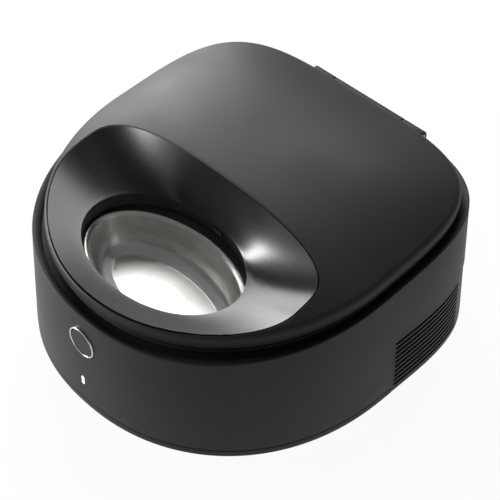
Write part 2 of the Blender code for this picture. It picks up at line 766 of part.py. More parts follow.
def outer_shell():
    lip = RIM_LEVEL - LIP_FALL
    rings = [
        ring(BODY, -DRAFT, SHELL_BOTTOM),
        ring(BODY, 0, RIM_LEVEL - RIM_ROUND, RIM_SLOPE),
        ring(BODY, RIM_ROUND / 4, RIM_LEVEL - RIM_ROUND / 4, RIM_SLOPE),
    ]
    rings += [ring(BODY, LIP_WIDTH * across, RIM_LEVEL - LIP_FALL * fall, RIM_SLOPE)
              for across, fall in LIP_SHARES]
    rings += [
        ring(BODY, LIP_WIDTH, lip - LIP_DEPTH, RIM_SLOPE),
        ring(BODY, WALL, lip - LIP_DEPTH - LIP_CHAMFER, RIM_SLOPE),
        ring(BODY, WALL - DRAFT, SHELL_BOTTOM),
    ]
    shell = loft("outer_shell", rings, "charcoal_plastic", closed=True)
    boss_bottom = BAND_TOP + TONGUE_RISE + GAP
    for k, (x, y) in enumerate(boss_places()):
        join(shell, upright_cylinder(f"shell_boss_{k}", x, y, boss_bottom, boss_bottom + BOSS_HEIGHT,
                                     BOSS_RADIUS, 16))
    ledge_rear = REAR_FACE - WALL / 2
    join(shell, box("hinge_ledge", (-HINGE_HALF_LENGTH, LEDGE_FRONT_Y, NOTCH_FLOOR - LEDGE_HEIGHT),
                    (HINGE_HALF_LENGTH, ledge_rear, NOTCH_FLOOR)))
    cut(shell, hinge_notch("shell_notch"))
    for k, (x, y) in enumerate(boss_places()):
        cut(shell, upright_cylinder(f"pilot_hole_{k}", x, y, SHELL_BOTTOM, SCREW_REACH + GAP + FLOOR_TOP,
                                    SCREW_HOLE, 12))
    for k, side in enumerate((-1, 1)):
        x = side * HINGE_SCREW_X
        cut(shell, upright_cylinder(f"ledge_hole_{k}", x, HINGE_SCREW_Y, NOTCH_FLOOR - LEDGE_HEIGHT + GAP,
                                    NOTCH_FLOOR + OVERRUN, SCREW_HOLE, 12))
    cut(shell, button_hole(), light_slot(), jack_hole())


def hinge_notch(name):
    half = HINGE_HALF_LENGTH + GAP
    return box(name, (-half, NOTCH_FRONT_Y, NOTCH_FLOOR), (half, REAR_FACE + OVERRUN, HINGE_Z + OVERRUN * 2))


def button_hole():
    face = body_front(BUTTON_Z)
    return cylinder("button_hole", (0, face - OVERRUN, BUTTON_Z), (0, face + WALL + OVERRUN, BUTTON_Z),
                    RING_OUTER + GAP, segments=32)


def light_slot():
    face = body_front(LIGHT_Z)
    half, height = LIGHT_WIDTH / 2 + GAP, LIGHT_HEIGHT / 2 + GAP
    return box("light_slot", (-half, face - OVERRUN, LIGHT_Z - height),
               (half, face + WALL + OVERRUN, LIGHT_Z + height))


def jack_hole():
    return cylinder("jack_hole", (JACK_X, JACK_BODY_REAR_Y - OVERRUN, JACK_Z),
                    (JACK_X, JACK_BARREL_END_Y + OVERRUN, JACK_Z), JACK_BARREL + GAP)


def bottom_cover():
    rings = [
        ring(BODY, COVER_CHAMFER - DRAFT, FOOT_LIFT),
        ring(BODY, -DRAFT, FOOT_LIFT + COVER_CHAMFER),
        ring(BODY, -DRAFT, BAND_TOP),
        ring(BODY, TONGUE_INSET, BAND_TOP),
        ring(BODY, TONGUE_INSET, BAND_TOP + TONGUE_RISE),
        ring(BODY, TONGUE_INSET + TONGUE_WIDTH, BAND_TOP + TONGUE_RISE),
        ring(BODY, TONGUE_INSET + TONGUE_WIDTH, FLOOR_TOP),
    ]
    cover = loft("bottom_cover", rings, "charcoal_plastic")
    sunk = FLOOR_TOP - GAP
    x, y = 0, AXIS_Y
    join(cover, upright_cylinder("spindle_boss", x, y, sunk, LOWER_BOSS_TOP, LOWER_BOSS_RADIUS, 16))
    for k, (x, y) in enumerate(bracket_post_places()):
        join(cover, upright_cylinder(f"motor_post_{k}", x, y, sunk, MOTOR_TOP - GAP, BRACKET_POST, 12))
    for k, (x, y) in enumerate(main_board_post_places()):
        join(cover, upright_cylinder(f"board_post_{k}", x, y, sunk, MAIN_BOARD_BOTTOM - GAP,
                                     MAIN_BOARD_POST, 12))
    join(cover, board_slot_ribs(sunk), jack_post(sunk))
    for name, x, y in foot_places():
        cut(cover, upright_cylinder("pocket_" + name, x, y, FOOT_LIFT - OVERRUN, FOOT_LIFT + FOOT_POCKET,
                                    FOOT_RADIUS + GAP, 16))
    for k, (x, y) in enumerate(boss_places()):
        cut(cover, upright_cylinder(f"cover_hole_{k}", x, y, 0, BAND_TOP + TONGUE_RISE + OVERRUN,
                                    SCREW_HOLE, 12))
        cut(cover, upright_cylinder(f"cover_recess_{k}", x, y, 0, FOOT_LIFT + SCREW_RECESS,
                                    SCREW_HEAD_RADIUS + GAP, 16))
    cut(cover, upright_cylinder("spindle_socket", 0, AXIS_Y, SPINDLE_BOTTOM - GAP, LOWER_BOSS_TOP + OVERRUN,
                                SPINDLE_RADIUS + GAP, 16), intake_slots())
    cut(cover, vent_pocket("cover_pocket_left", -1), vent_pocket("cover_pocket_right", 1))
    return cover


def board_slot_ribs(low):
    """Two ribs that hold the front board's lower edge."""
    ribs = bmesh.new()
    top = low + SLOT_RIB_HEIGHT
    front = FRONT_BOARD_Y - SLOT_RIB_GAP
    back = FRONT_BOARD_Y + BOARD_THICKNESS + SLOT_RIB_GAP
    add_box(ribs, (-SLOT_RIB_HALF_LENGTH, front - SLOT_RIB, low), (SLOT_RIB_HALF_LENGTH, front, top))
    add_box(ribs, (-SLOT_RIB_HALF_LENGTH, back, low), (SLOT_RIB_HALF_LENGTH, back + SLOT_RIB, top))
    return from_bmesh("board_slot_ribs", ribs)


def jack_post(low):
    y = (JACK_BODY_FRONT_Y + JACK_BODY_REAR_Y) / 2
    return box("jack_post", (JACK_X - JACK_POST_HALF, y - JACK_POST_HALF, low),
               (JACK_X + JACK_POST_HALF, y + JACK_POST_HALF, JACK_Z - JACK_BODY_HALF - GAP))


def intake_slots():
    slots = bmesh.new()
    for k in range(INTAKE_COUNT):
        y = COOLER_Y + (k - (INTAKE_COUNT - 1) / 2) * INTAKE_PITCH
        add_box(slots, (-INTAKE_LENGTH / 2, y - INTAKE_WIDTH / 2, FOOT_LIFT - OVERRUN),
                (INTAKE_LENGTH / 2, y + INTAKE_WIDTH / 2, FLOOR_TOP + OVERRUN))
    return from_bmesh("intake_slots", slots)


def feet():
    top = FOOT_LIFT + FOOT_POCKET - GAP
    for name, x, y in foot_places():
        profile = [(0, top), (FOOT_RADIUS, top), (FOOT_RADIUS, FOOT_LIFT / 2),
                   (FOOT_RADIUS - FOOT_LIFT / 2, 0), (0, 0)]
        turned("foot_" + name, profile, "rubber", segments=12, place=(x, y, 0))


def screw_profile(head_top, head_height, head_radius, shank_bottom):
    under = head_top - head_height
    return [(0, head_top), (head_radius, head_top), (head_radius, under), (SCREW_RADIUS, under),
            (SCREW_RADIUS, shank_bottom), (0, shank_bottom)]


def base_screws():
    """Screws that come up through the bottom cover, heads downward."""
    names = ("side_left", "side_right", "rear_left", "rear_right")
    head = FOOT_LIFT + SCREW_RECESS - GAP
    for name, (x, y) in zip(names, boss_places()):
        top = FLOOR_TOP + SCREW_REACH
        profile = [(0, top), (SCREW_RADIUS, top), (SCREW_RADIUS, head), (SCREW_HEAD_RADIUS, head),
                   (SCREW_HEAD_RADIUS, head - SCREW_HEAD_HEIGHT), (0, head - SCREW_HEAD_HEIGHT)]
        turned("base_screw_" + name, profile, "steel", segments=10, place=(x, y, 0))


def top_deck():
    inset = LIP_WIDTH + GAP
    rings = [ring(BODY, inset, DECK_LEVEL - DECK_THICKNESS, RIM_SLOPE),
             ring(BODY, inset, DECK_LEVEL, RIM_SLOPE)]
    deck = loft("top_deck", rings, "black_plastic")
    cut(deck, upright_cylinder("deck_opening", 0, AXIS_Y, LINER_BOTTOM, HINGE_Z + OVERRUN, DECK_OPENING,
                               DECK_SEGMENTS))
    relief = loft("deck_relief", [hole_ring(DECK_RELIEF, LINER_BOTTOM), hole_ring(DECK_RELIEF, HINGE_Z)])
    cut(deck, hinge_notch("deck_notch"), relief)
    for k, side in enumerate((-1, 1)):
        top = deck_magnet_top()
        cut(deck, upright_cylinder(f"magnet_pocket_{k}", side * MAGNET_X, MAGNET_Y,
                                   top - DECK_MAGNET_HEIGHT - GAP, top + OVERRUN, MAGNET_RADIUS + GAP, 16))


def chamber_liner():
    inner = LINER_RADIUS - LINER_WALL
    rings = [
        circle(LINER_RADIUS - LINER_CORNER, LINER_BOTTOM),
        circle(LINER_RADIUS, LINER_BOTTOM + LINER_CORNER),
        circle(LINER_RADIUS, LINER_TOP, RIM_SLOPE),
        circle(inner, LINER_TOP, RIM_SLOPE),
        circle(inner, LINER_FLOOR_TOP + LINER_CORNER),
        circle(inner - LINER_CORNER, LINER_FLOOR_TOP),
    ]
    liner = loft("chamber_liner", rings, "liner_plastic")
    cut(liner, bearing_hole("liner_bearing_hole"))
    cut(liner, thermal_window("liner_window", COLD_PLATE_X, COLD_PLATE_Y))


def bearing_hole(name):
    return upright_cylinder(name, 0, AXIS_Y, LINER_BOTTOM - JACKET_FLOOR - OVERRUN, LINER_FLOOR_TOP + OVERRUN,
                            BEARING_RADIUS + GAP)


def thermal_window(name, length, width):
    half_x, half_y = length / 2 + GAP, width / 2 + GAP
    return box(name, (-half_x, COOLER_Y - half_y, LINER_BOTTOM - JACKET_FLOOR - OVERRUN),
               (half_x, COOLER_Y + half_y, LINER_FLOOR_TOP + OVERRUN))


def chamber_insulation():
    bottom = LINER_BOTTOM - GAP - JACKET_FLOOR
    top = DECK_LEVEL - DECK_THICKNESS - JACKET_TOP_GAP
    foam = loft("chamber_insulation", [ring(JACKET, 0, bottom), ring(JACKET, 0, top, RIM_SLOPE)], "foam")
    cut(foam, upright_cylinder("jacket_bore", 0, AXIS_Y, LINER_BOTTOM - GAP, HINGE_Z + OVERRUN,
                               LINER_RADIUS + GAP, LINER_SEGMENTS))
    cut(foam, bearing_hole("jacket_bearing_hole"))
    cut(foam, thermal_window("jacket_window", SINK_X + SINK_MARGIN, SINK_Y + SINK_MARGIN))


def cooler():
    plate_top = LINER_FLOOR_TOP + COLD_PLATE_PROUD
    plate_bottom = plate_top - COLD_PLATE_THICKNESS
    centred_block("cold_plate", COLD_PLATE_X, COLD_PLATE_Y, plate_bottom, plate_top, "aluminium")
    module_top = plate_bottom - GAP
    module_bottom = module_top - MODULE_THICKNESS
    centred_block("thermoelectric_module", MODULE_SIDE, MODULE_SIDE, module_bottom, module_top, "ceramic")
    heat_sink(module_bottom - GAP)


def centred_block(name, length, width, low, high, finish):
    return box(name, (-length / 2, COOLER_Y - width / 2, low),
               (length / 2, COOLER_Y + width / 2, high), finish)


def heat_sink(top):
    """A comb of fins hanging from a base, the fins running from side to side."""
    base = top - SINK_BASE
    tip = base - SINK_FIN_HEIGHT
    pitch = (SINK_Y - SINK_FIN) / (SINK_FIN_COUNT - 1)
    start = COOLER_Y - SINK_Y / 2
    points = [(start + SINK_Y, top), (start, top)]
    for k in range(SINK_FIN_COUNT):
        y = start + k * pitch
        points += [(y, tip), (y + SINK_FIN, tip)]
        if k < SINK_FIN_COUNT - 1:
            points += [(y + SINK_FIN, base), (y + pitch, base)]
    axes = Matrix(((0, 0, 1, 0), (1, 0, 0, 0), (0, 1, 0, 0), (0, 0, 0, 1)))
    return flat_prism("heat_sink", [points], SINK_X, axes, "aluminium")


def fan_frame():
    low = FLOOR_TOP + GAP
    frame = centred_block("fan_frame", FAN_SIDE, FAN_SIDE, low, low + FAN_HEIGHT, "black_plastic")
    cut(frame, upright_cylinder("fan_bore", 0, COOLER_Y, low - OVERRUN, low + FAN_HEIGHT + OVERRUN,
                                FAN_BORE, 32))
    plate = upright_cylinder("fan_hub_plate", 0, COOLER_Y, low, low + FAN_HUB_PLATE_THICKNESS, FAN_HUB_PLATE)
    join(frame, fan_struts(low), plate)
    for k, (dx, dy) in enumerate(fan_screw_offsets(4)):
        cut(frame, upright_cylinder(f"fan_hole_{k}", dx, COOLER_Y + dy, low - OVERRUN,
                                    low + FAN_HEIGHT + OVERRUN, SCREW_HOLE, 12))


def fan_screw_offsets(count):
    places = []
    for k in range(count):
        angle = math.pi / 4 + 2 * math.pi * k / count
        reach_out = FAN_SCREW_OFFSET * math.sqrt(2)
        places.append((reach_out * math.cos(angle), reach_out * math.sin(angle)))
    return places


def fan_struts(low):
    struts = bmesh.new()
    for k in range(FAN_STRUTS):
        around = Matrix.Rotation(2 * math.pi * k / FAN_STRUTS, 4, "Z")
        turn = Matrix.Translation((0, COOLER_Y, 0)) @ around
        add_box(struts, (FAN_HUB, -FAN_STRUT / 2, low),
                (FAN_BORE + FAN_STRUT / 4, FAN_STRUT / 2, low + FAN_STRUT_THICKNESS), turn)
    return from_bmesh("fan_struts", struts)


def fan_rotor():
    low = FLOOR_TOP + GAP + FAN_HUB_PLATE_THICKNESS + GAP
    high = FLOOR_TOP + FAN_HEIGHT
    rotor = upright_cylinder("fan_rotor", 0, COOLER_Y, low, high, FAN_HUB, finish="black_plastic")
    middle = (low + high) / 2
    blades = bmesh.new()
    for k in range(FAN_BLADES):
        around = Matrix.Rotation(2 * math.pi * k / FAN_BLADES, 4, "Z")
        turn = Matrix.Translation((0, COOLER_Y, middle)) @ around
        pitch = Matrix.Rotation(FAN_BLADE_ANGLE, 4, "X")
        add_box(blades, (FAN_HUB - FAN_BLADE_ROOT, -FAN_BLADE_CHORD / 2, -FAN_BLADE_THICKNESS / 2),
                (FAN_BLADE_TIP, FAN_BLADE_CHORD / 2, FAN_BLADE_THICKNESS / 2), turn @ pitch)
    join(rotor, from_bmesh("fan_blades", blades))
    return rotor


def fan_screws():
    top = FLOOR_TOP + GAP + FAN_HEIGHT + GAP + FAN_SCREW_HEAD
    for name, (dx, dy) in zip(("one", "two"), fan_screw_offsets(2)):
        profile = screw_profile(top, FAN_SCREW_HEAD, SCREW_HEAD_RADIUS, FLOOR_TOP + GAP)
        turned("fan_screw_" + name, profile, "steel", segments=10, place=(dx, COOLER_Y + dy, 0))


def gear_outline(teeth, phase):
    """Teeth of two straight flanks about a pitch circle, with room between them and their mates."""
    pitch_radius = GEAR_MODULE * teeth / 2
    tip = pitch_radius + ADDENDUM_SHARE * GEAR_MODULE
    root = pitch_radius - DEDENDUM_SHARE * GEAR_MODULE
    step = 2 * math.pi / teeth
    points = []
    for k in range(teeth):
        middle = phase + k * step
        for radius, share in ((root, -ROOT_SHARE), (tip, -TIP_SHARE), (tip, TIP_SHARE), (root, ROOT_SHARE)):
            angle = middle + share * step / 2
            points.append((radius * math.cos(angle), radius * math.sin(angle)))
    return points


def drive_gear():
    """The gear wheel on the spindle: a tooth gap faces the pinion."""
    phase = MOTOR_ANGLE + math.pi / GEAR_TEETH
    place = Matrix.Translation((0, AXIS_Y, GEAR_BOTTOM + GEAR_WIDTH / 2))
    outlines = [gear_outline(GEAR_TEETH, phase), round_outline(0, 0, SPINDLE_RADIUS + GAP, 16)]
    for k in range(GEAR_RIM_HOLES):
        angle = 2 * math.pi * k / GEAR_RIM_HOLES
        x, y = GEAR_RIM_HOLE_CIRCLE * math.cos(angle), GEAR_RIM_HOLE_CIRCLE * math.sin(angle)
        outlines.append(round_outline(x, y, GEAR_RIM_HOLE, 12))
    return flat_prism("drive_gear", outlines, GEAR_WIDTH, place, "gear_plastic")


def round_outline(x, y, radius, count):
    angles = [2 * math.pi * k / count for k in range(count)]
    return [(x + radius * math.cos(angle), y + radius * math.sin(angle)) for angle in angles]


def drive_pinion():
    x, y = motor_place()
    place = Matrix.Translation((x, y, GEAR_BOTTOM + GEAR_WIDTH / 2))
    points = gear_outline(PINION_TEETH, MOTOR_ANGLE + math.pi)
    pinion = flat_prism("drive_pinion", [points], GEAR_WIDTH, place, "gear_plastic")
    shaft_bottom = MOTOR_TOP + MOTOR_BOSS_HEIGHT - PINION_SHAFT_DEPTH
    join(pinion, upright_cylinder("pinion_shaft", x, y, shaft_bottom, GEAR_BOTTOM + GEAR_WIDTH + GAP,
                                  PINION_SHAFT_RADIUS, 16))
    return pinion


def gear_motor():
    x, y = motor_place()
    boss_top = MOTOR_TOP + MOTOR_BOSS_HEIGHT
    socket = PINION_SHAFT_RADIUS + GAP
    socket_bottom = boss_top - PINION_SHAFT_DEPTH - GAP
    profile = [(0, socket_bottom), (socket, socket_bottom), (socket, boss_top), (MOTOR_BOSS_RADIUS, boss_top),
               (MOTOR_BOSS_RADIUS, MOTOR_TOP), (MOTOR_RADIUS, MOTOR_TOP), (MOTOR_RADIUS, MOTOR_BOTTOM),
               (0, MOTOR_BOTTOM)]
    turned("gear_motor", profile, "steel", segments=24, place=(x, y, 0))


def motor_bracket():
    x, y = motor_place()
    turn = Matrix.Translation((x, y, 0)) @ Matrix.Rotation(MOTOR_ANGLE + math.pi / 2, 4, "Z")
    low = MOTOR_TOP + GAP
    plate = bmesh.new()
    half, side = BRACKET_LENGTH / 2, BRACKET_WIDTH / 2
    add_box(plate, (-half, -side, low), (half, side, low + BRACKET_THICKNESS), turn)
    bracket = from_bmesh("motor_bracket", plate, "steel")
    cut(bracket, upright_cylinder("bracket_hole", x, y, low - OVERRUN, low + BRACKET_THICKNESS + OVERRUN,
                                  MOTOR_BOSS_RADIUS + GAP))


def spindle():
    bearing_top = LINER_FLOOR_TOP + GAP + BEARING_FLANGE_THICKNESS
    flange = LINER_FLOOR_TOP + GAP
    low = LINER_BOTTOM - JACKET_FLOOR - GAP
    bore = SPINDLE_RADIUS + GAP
    profile = [(bore, bearing_top), (BEARING_FLANGE, bearing_top), (BEARING_FLANGE, flange),
               (BEARING_RADIUS, flange), (BEARING_RADIUS, low), (bore, low)]
    turned("spindle_bearing", profile, "gear_plastic", segments=24, place=(0, AXIS_Y, 0), closed=True)
    return upright_cylinder("turntable_spindle", 0, AXIS_Y, SPINDLE_BOTTOM, SPINDLE_TOP, SPINDLE_RADIUS,
                            finish="steel")


def turntable():
    low = LINER_FLOOR_TOP + GAP * 2 + BEARING_FLANGE_THICKNESS
    table = upright_cylinder("turntable", 0, AXIS_Y, low, low + TURNTABLE_THICKNESS, TURNTABLE_RADIUS, 40,
                             "tray_plastic")
    join(table, upright_cylinder("turntable_hub", 0, AXIS_Y, low + GAP, HUB_TOP, HUB_RADIUS, HUB_SIDES))
    cut(table, upright_cylinder("turntable_socket", 0, AXIS_Y, low - OVERRUN, SPINDLE_TOP + GAP,
                                SPINDLE_RADIUS + GAP))
    return table


def food_tray():
    bottom = LINER_FLOOR_TOP + GAP * 3 + BEARING_FLANGE_THICKNESS + TURNTABLE_THICKNESS
    under = TRAY_TOP - TRAY_THICKNESS
    inner = TRAY_RADIUS - TRAY_SKIRT_WALL
    steps = [(TRAY_RADIUS, TRAY_TOP), (TRAY_RADIUS, TRAY_SKIRT_BOTTOM), (inner, TRAY_SKIRT_BOTTOM),
             (inner, under), (TRAY_COLUMN, under), (TRAY_COLUMN, bottom)]
    rings = [circle(radius, level, count=TRAY_SEGMENTS) for radius, level in steps]
    tray = loft("food_tray", rings, "tray_plastic")
    join(tray, tray_ribs(under), tray_blank())
    for k in range(len(BOWL_PLACES)):
        cut(tray, bowl_opening(k))
    hub_clear = HUB_RADIUS + GAP / math.cos(math.pi / HUB_SIDES)
    cut(tray, upright_cylinder("tray_socket", 0, AXIS_Y, bottom - OVERRUN, HUB_TOP + GAP, hub_clear,
                               HUB_SIDES))
    return tray


def tray_turn(place):
    """Turns a shape made at the serving place round to one of the tray's places."""
    about = Matrix.Translation((0, AXIS_Y, 0))
    return about @ Matrix.Rotation(2 * math.pi * place / TRAY_PLACES, 4, "Z") @ about.inverted()


def tray_ribs(under):
    """Ribs below the plate, between the bowls, from the column to the skirt."""
    ribs = bmesh.new()
    for k in range(TRAY_PLACES):
        turn = tray_turn(k + 1 / 2)
        reach_out = AXIS_Y - TRAY_RADIUS + TRAY_SKIRT_WALL / 2
        add_box(ribs, (-TRAY_RIB_THICKNESS / 2, reach_out, TRAY_SKIRT_BOTTOM + GAP),
                (TRAY_RIB_THICKNESS / 2, AXIS_Y - TRAY_COLUMN / 2, under + GAP), turn)
    return from_bmesh("tray_ribs", ribs)


def tray_blank():
    """The raised blank, whose top passes just below the seal and closes the serving hole."""
    length, width = BOWL_HALF_LENGTH - BLANK_MARGIN, BOWL_HALF_WIDTH - BLANK_MARGIN
    top = SEAL_BOTTOM - BLANK_CLEARANCE
    rings = [oval(length, width, TRAY_TOP - GAP), oval(length, width, top - BLANK_CHAMFER),
             oval(length - BLANK_CHAMFER, width - BLANK_CHAMFER, top)]
    blank = loft("tray_blank", rings)
    blank.data.transform(tray_turn(BLANK_PLACE))
    return blank


def bowl_opening(k):
    inset = BOWL_FLANGE - GAP
    length, width = BOWL_HALF_LENGTH - inset, BOWL_HALF_WIDTH - inset
    opening = loft(f"bowl_opening_{k}", [oval(length, width, TRAY_SKIRT_BOTTOM),
                                         oval(length, width, TRAY_TOP + OVERRUN)])
    opening.data.transform(tray_turn(BOWL_PLACES[k]))
    return opening


def bowl_rings():
    """Rings of one bowl at the serving place, from the inner floor over the rim to the outer floor."""
    def at(inset, level):
        return oval(BOWL_HALF_LENGTH - inset, BOWL_HALF_WIDTH - inset, level)

    outer = [(share * BOWL_HALF_WIDTH + BOWL_FLANGE * 0.25, BOWL_RIM_TOP - drop * BOWL_DEPTH)
             for share, drop in BOWL_WALL_SHARES]
    inner = [(inset + BOWL_SHEET, level + BOWL_SHEET * (drop > 0.6))
             for (inset, level), (share, drop) in zip(outer, BOWL_WALL_SHARES)]
    flange_under = TRAY_TOP + GAP
    rings = [at(inset, level) for inset, level in reversed(inner)]
    rings += [at(BOWL_FLANGE * 0.75, BOWL_RIM_TOP - BOWL_SHEET / 2), at(BOWL_FLANGE * 0.4, BOWL_RIM_TOP),
              at(0, BOWL_RIM_TOP - BOWL_SHEET / 2), at(0, flange_under), at(BOWL_FLANGE, flange_under)]
    rings += [at(inset, level) for inset, level in outer]
    return rings


def bowls():
    made = []
    for k, place in enumerate(BOWL_PLACES):
        bowl = loft(f"bowl_{k + 1}", bowl_rings(), "stainless_steel")
        bowl.data.transform(tray_turn(place))
        made.append(bowl)
    return made


def tray_lift_knob():
    low = TRAY_TOP + GAP
    high = low + KNOB_HEIGHT
    lip = KNOB_HEIGHT / 4
    profile = [(0, high), (KNOB_RADIUS - lip, high), (KNOB_RADIUS, high - lip), (KNOB_RADIUS, high - 2 * lip),
               (KNOB_WAIST, high - 3 * lip), (KNOB_WAIST, low), (0, low)]
    return turned("tray_lift_knob", profile, "tray_plastic", segments=24, place=(0, AXIS_Y, 0))


def dome_ring(share, drop):
    """A ring of the lid's dome, at a share of the way out from its middle."""
    rise = LID_DOME * (1 - share ** LID_DOME_POWER)
    return ring(LID, 0, LID_LOW + LID_EDGE + rise - drop, LID_SLOPE, share)


def lid_shell():
    top = LID_LOW + LID_EDGE
    bend = LID_EDGE_ROUND
    inside = [dome_ring(share, LID_WALL) for share in reversed(UNDER_DOME_SHARES)]
    inside += [ring(LID, LID_WALL, top - bend, LID_SLOPE), ring(LID, LID_WALL, LID_LOW, LID_SLOPE)]
    outside = [
        ring(LID, bend / 6, LID_LOW, LID_SLOPE), ring(LID, 0, LID_LOW + bend / 6, LID_SLOPE),
        ring(LID, 0, top - bend, LID_SLOPE), ring(LID, bend / 8, top - bend / 2, LID_SLOPE),
        ring(LID, bend / 2, top, LID_SLOPE)]
    outside += [dome_ring(share, 0) for share in DOME_SHARES]
    shell = loft("lid_shell", inside + outside, "charcoal_plastic")
    cut(shell, loft("scoop_cutter", [scoop_plan(HOLE_LEVEL - OVERRUN * 2), scoop_plan(HINGE_Z * 2)]))
    return shell


def dome_height(x, y):
    """Height of the lid's outer surface over a point of its dome."""
    dx, dy = x, y - AXIS_Y
    share = math.hypot(dx, dy) / reach(LID, 0, math.atan2(dy, dx))
    return LID_LOW + LID_EDGE + LID_SLOPE * y + LID_DOME * (1 - share ** LID_DOME_POWER)


def in_outline(outline, inset, dx, dy):
    return math.hypot(dx, dy) < reach(outline, inset, math.atan2(dy, dx))


def scoop_reach(angle):
    """Distance from the hole's middle to the scoop's edge in one direction, found by halving.

    The edge keeps inside both the scoop's own outline and the rounded edge of the lid.
    """
    near, far = 0, 2 * SCOOP_HALF_WIDTH
    for _ in range(40):
        middle = (near + far) / 2
        x, y = middle * math.cos(angle), HOLE_Y + middle * math.sin(angle)
        within = in_outline(SCOOP, 0, x, y - SCOOP_Y) and in_outline(LID, SCOOP_LID_MARGIN, x, y - AXIS_Y)
        near, far = (middle, far) if within else (near, middle)
    return near


SCOOP_ANGLES = [2 * math.pi * k / SCOOP_POINTS for k in range(SCOOP_POINTS)]
SCOOP_REACHES = [scoop_reach(angle) for angle in SCOOP_ANGLES]


def scoop_plan(level):
    """The edge of the scoop's opening in the lid as a flat ring."""
    return [Vector((far * math.cos(angle), HOLE_Y + far * math.sin(angle), level))
            for angle, far in zip(SCOOP_ANGLES, SCOOP_REACHES)]


def hole_reach(angle, spare=0.0):
    across = math.cos(angle) / (HOLE_HALF_LENGTH + spare)
    along = math.sin(angle) / (HOLE_HALF_WIDTH + spare)
    return 1 / math.hypot(across, along)


def scoop_ring(share, sheet):
    """A ring of the scoop between its edge (share 0) and the hole (share 1), sheet below the surface."""
    points = []
    for angle, far in zip(SCOOP_ANGLES, SCOOP_REACHES):
        outer, inner = far - SCOOP_GAP, hole_reach(angle)
        span = outer - inner
        c, s = math.cos(angle), math.sin(angle)
        edge = dome_height(outer * c, HOLE_Y + outer * s)
        fall = edge - HOLE_LEVEL
        steep = SCOOP_CURVE_POWER * fall * (1 - share) ** (SCOOP_CURVE_POWER - 1) / span
        lean = math.atan(steep)
        distance = outer - share * span + sheet * math.sin(lean)
        height = HOLE_LEVEL + fall * (1 - share) ** SCOOP_CURVE_POWER - sheet * math.cos(lean)
        points.append(Vector((distance * c, HOLE_Y + distance * s, height)))
    return points


def hole_ring(spare, level):
    return [Vector((hole_reach(angle, spare) * math.cos(angle),
                    HOLE_Y + hole_reach(angle, spare) * math.sin(angle), level)) for angle in SCOOP_ANGLES]


def scoop_insert():
    """The glossy scoop, with the collar of the serving hole under it."""
    rings = [scoop_ring(share, 0) for share in SCOOP_SHARES]
    edge = [point - Vector((0, 0, SCOOP_EDGE)) for point in rings[0]]
    under = [scoop_ring(share, SCOOP_SHEET) for share in SCOOP_UNDER_SHARES]
    collar = [hole_ring(0, HOLE_LEVEL - COLLAR_LIP), hole_ring(COLLAR_RELIEF, HOLE_LEVEL - COLLAR_LIP),
              hole_ring(COLLAR_RELIEF, COLLAR_BOTTOM), hole_ring(COLLAR_OUTER, COLLAR_BOTTOM),
              hole_ring(COLLAR_OUTER, HOLE_LEVEL - SCOOP_SHEET)]
    rings = rings + collar + list(reversed(under)) + [edge]
    return loft("scoop_insert", rings, "gloss_black", closed=True)


def serving_seal():
    top = COLLAR_BOTTOM - GAP
    near, far = COLLAR_RELIEF + GAP, COLLAR_RELIEF + GAP + SEAL_WIDTH
    rings = [hole_ring(near, SEAL_BOTTOM), hole_ring(near, top),
             hole_ring(far, top), hole_ring(far, SEAL_BOTTOM)]
    return loft("serving_seal", rings, "silicone", closed=True)


def lid_liner():
    skirt_inset = LID_WALL + PAN_CLEAR
    skirt_low = DECK_LEVEL + SKIRT_LIFT
    rings = [
        ring(PLUG, 0, PLUG_BOTTOM),
        ring(PLUG, -PLUG_FLARE, skirt_low, RIM_SLOPE),
        ring(LID, skirt_inset + SKIRT_WIDTH, skirt_low, RIM_SLOPE),
        ring(LID, skirt_inset, skirt_low, RIM_SLOPE),
        ring(LID, skirt_inset, LID_LOW + SKIRT_ENTRY, LID_SLOPE),
        ring(LID, skirt_inset + SKIRT_TOP_WIDTH, LID_LOW + SKIRT_ENTRY, LID_SLOPE),
        ring(LID, skirt_inset + SKIRT_TOP_WIDTH, skirt_low + PAN_SHEET, RIM_SLOPE),
        ring(PLUG, PAN_SHEET - PLUG_FLARE, skirt_low + PAN_SHEET, RIM_SLOPE),
        ring(PLUG, PAN_SHEET, PLUG_BOTTOM + PAN_SHEET),
    ]
    pan = loft("lid_liner", rings, "black_plastic")
    spare = COLLAR_OUTER + GAP
    cut(pan, loft("pan_hole", [hole_ring(spare, PLUG_BOTTOM - OVERRUN), hole_ring(spare, HOLE_LEVEL)]))
    return pan


def lid_insulation():
    """Foam behind the scoop, between the lid's pan and its dome."""
    low = PLUG_BOTTOM + PAN_SHEET + GAP
    points = [(p.x, p.y) for p in ring(PLUG, FOAM_INSET, 0) if p.y > FOAM_FRONT_Y]
    points = sorted(points, key=lambda point: math.atan2(point[1] - AXIS_Y, point[0]) % (2 * math.pi - 1))
    place = Matrix.Translation((0, 0, (low + FOAM_TOP) / 2))
    return flat_prism("lid_insulation", [points], FOAM_TOP - low, place, "foam")


def lid_gasket():
    low = DECK_LEVEL + GAP
    high = DECK_LEVEL + SKIRT_LIFT - GAP
    near, far = GASKET_INSET, GASKET_INSET + GASKET_WIDTH
    rings = [ring(LID, near, low, RIM_SLOPE), ring(LID, near, high, RIM_SLOPE),
             ring(LID, far, high, RIM_SLOPE), ring(LID, far, low, RIM_SLOPE)]
    return loft("lid_gasket", rings, "silicone", closed=True)


def deck_magnet_top():
    """Level of the deck at the magnets' front edge."""
    return DECK_LEVEL + RIM_SLOPE * (MAGNET_Y - MAGNET_RADIUS)


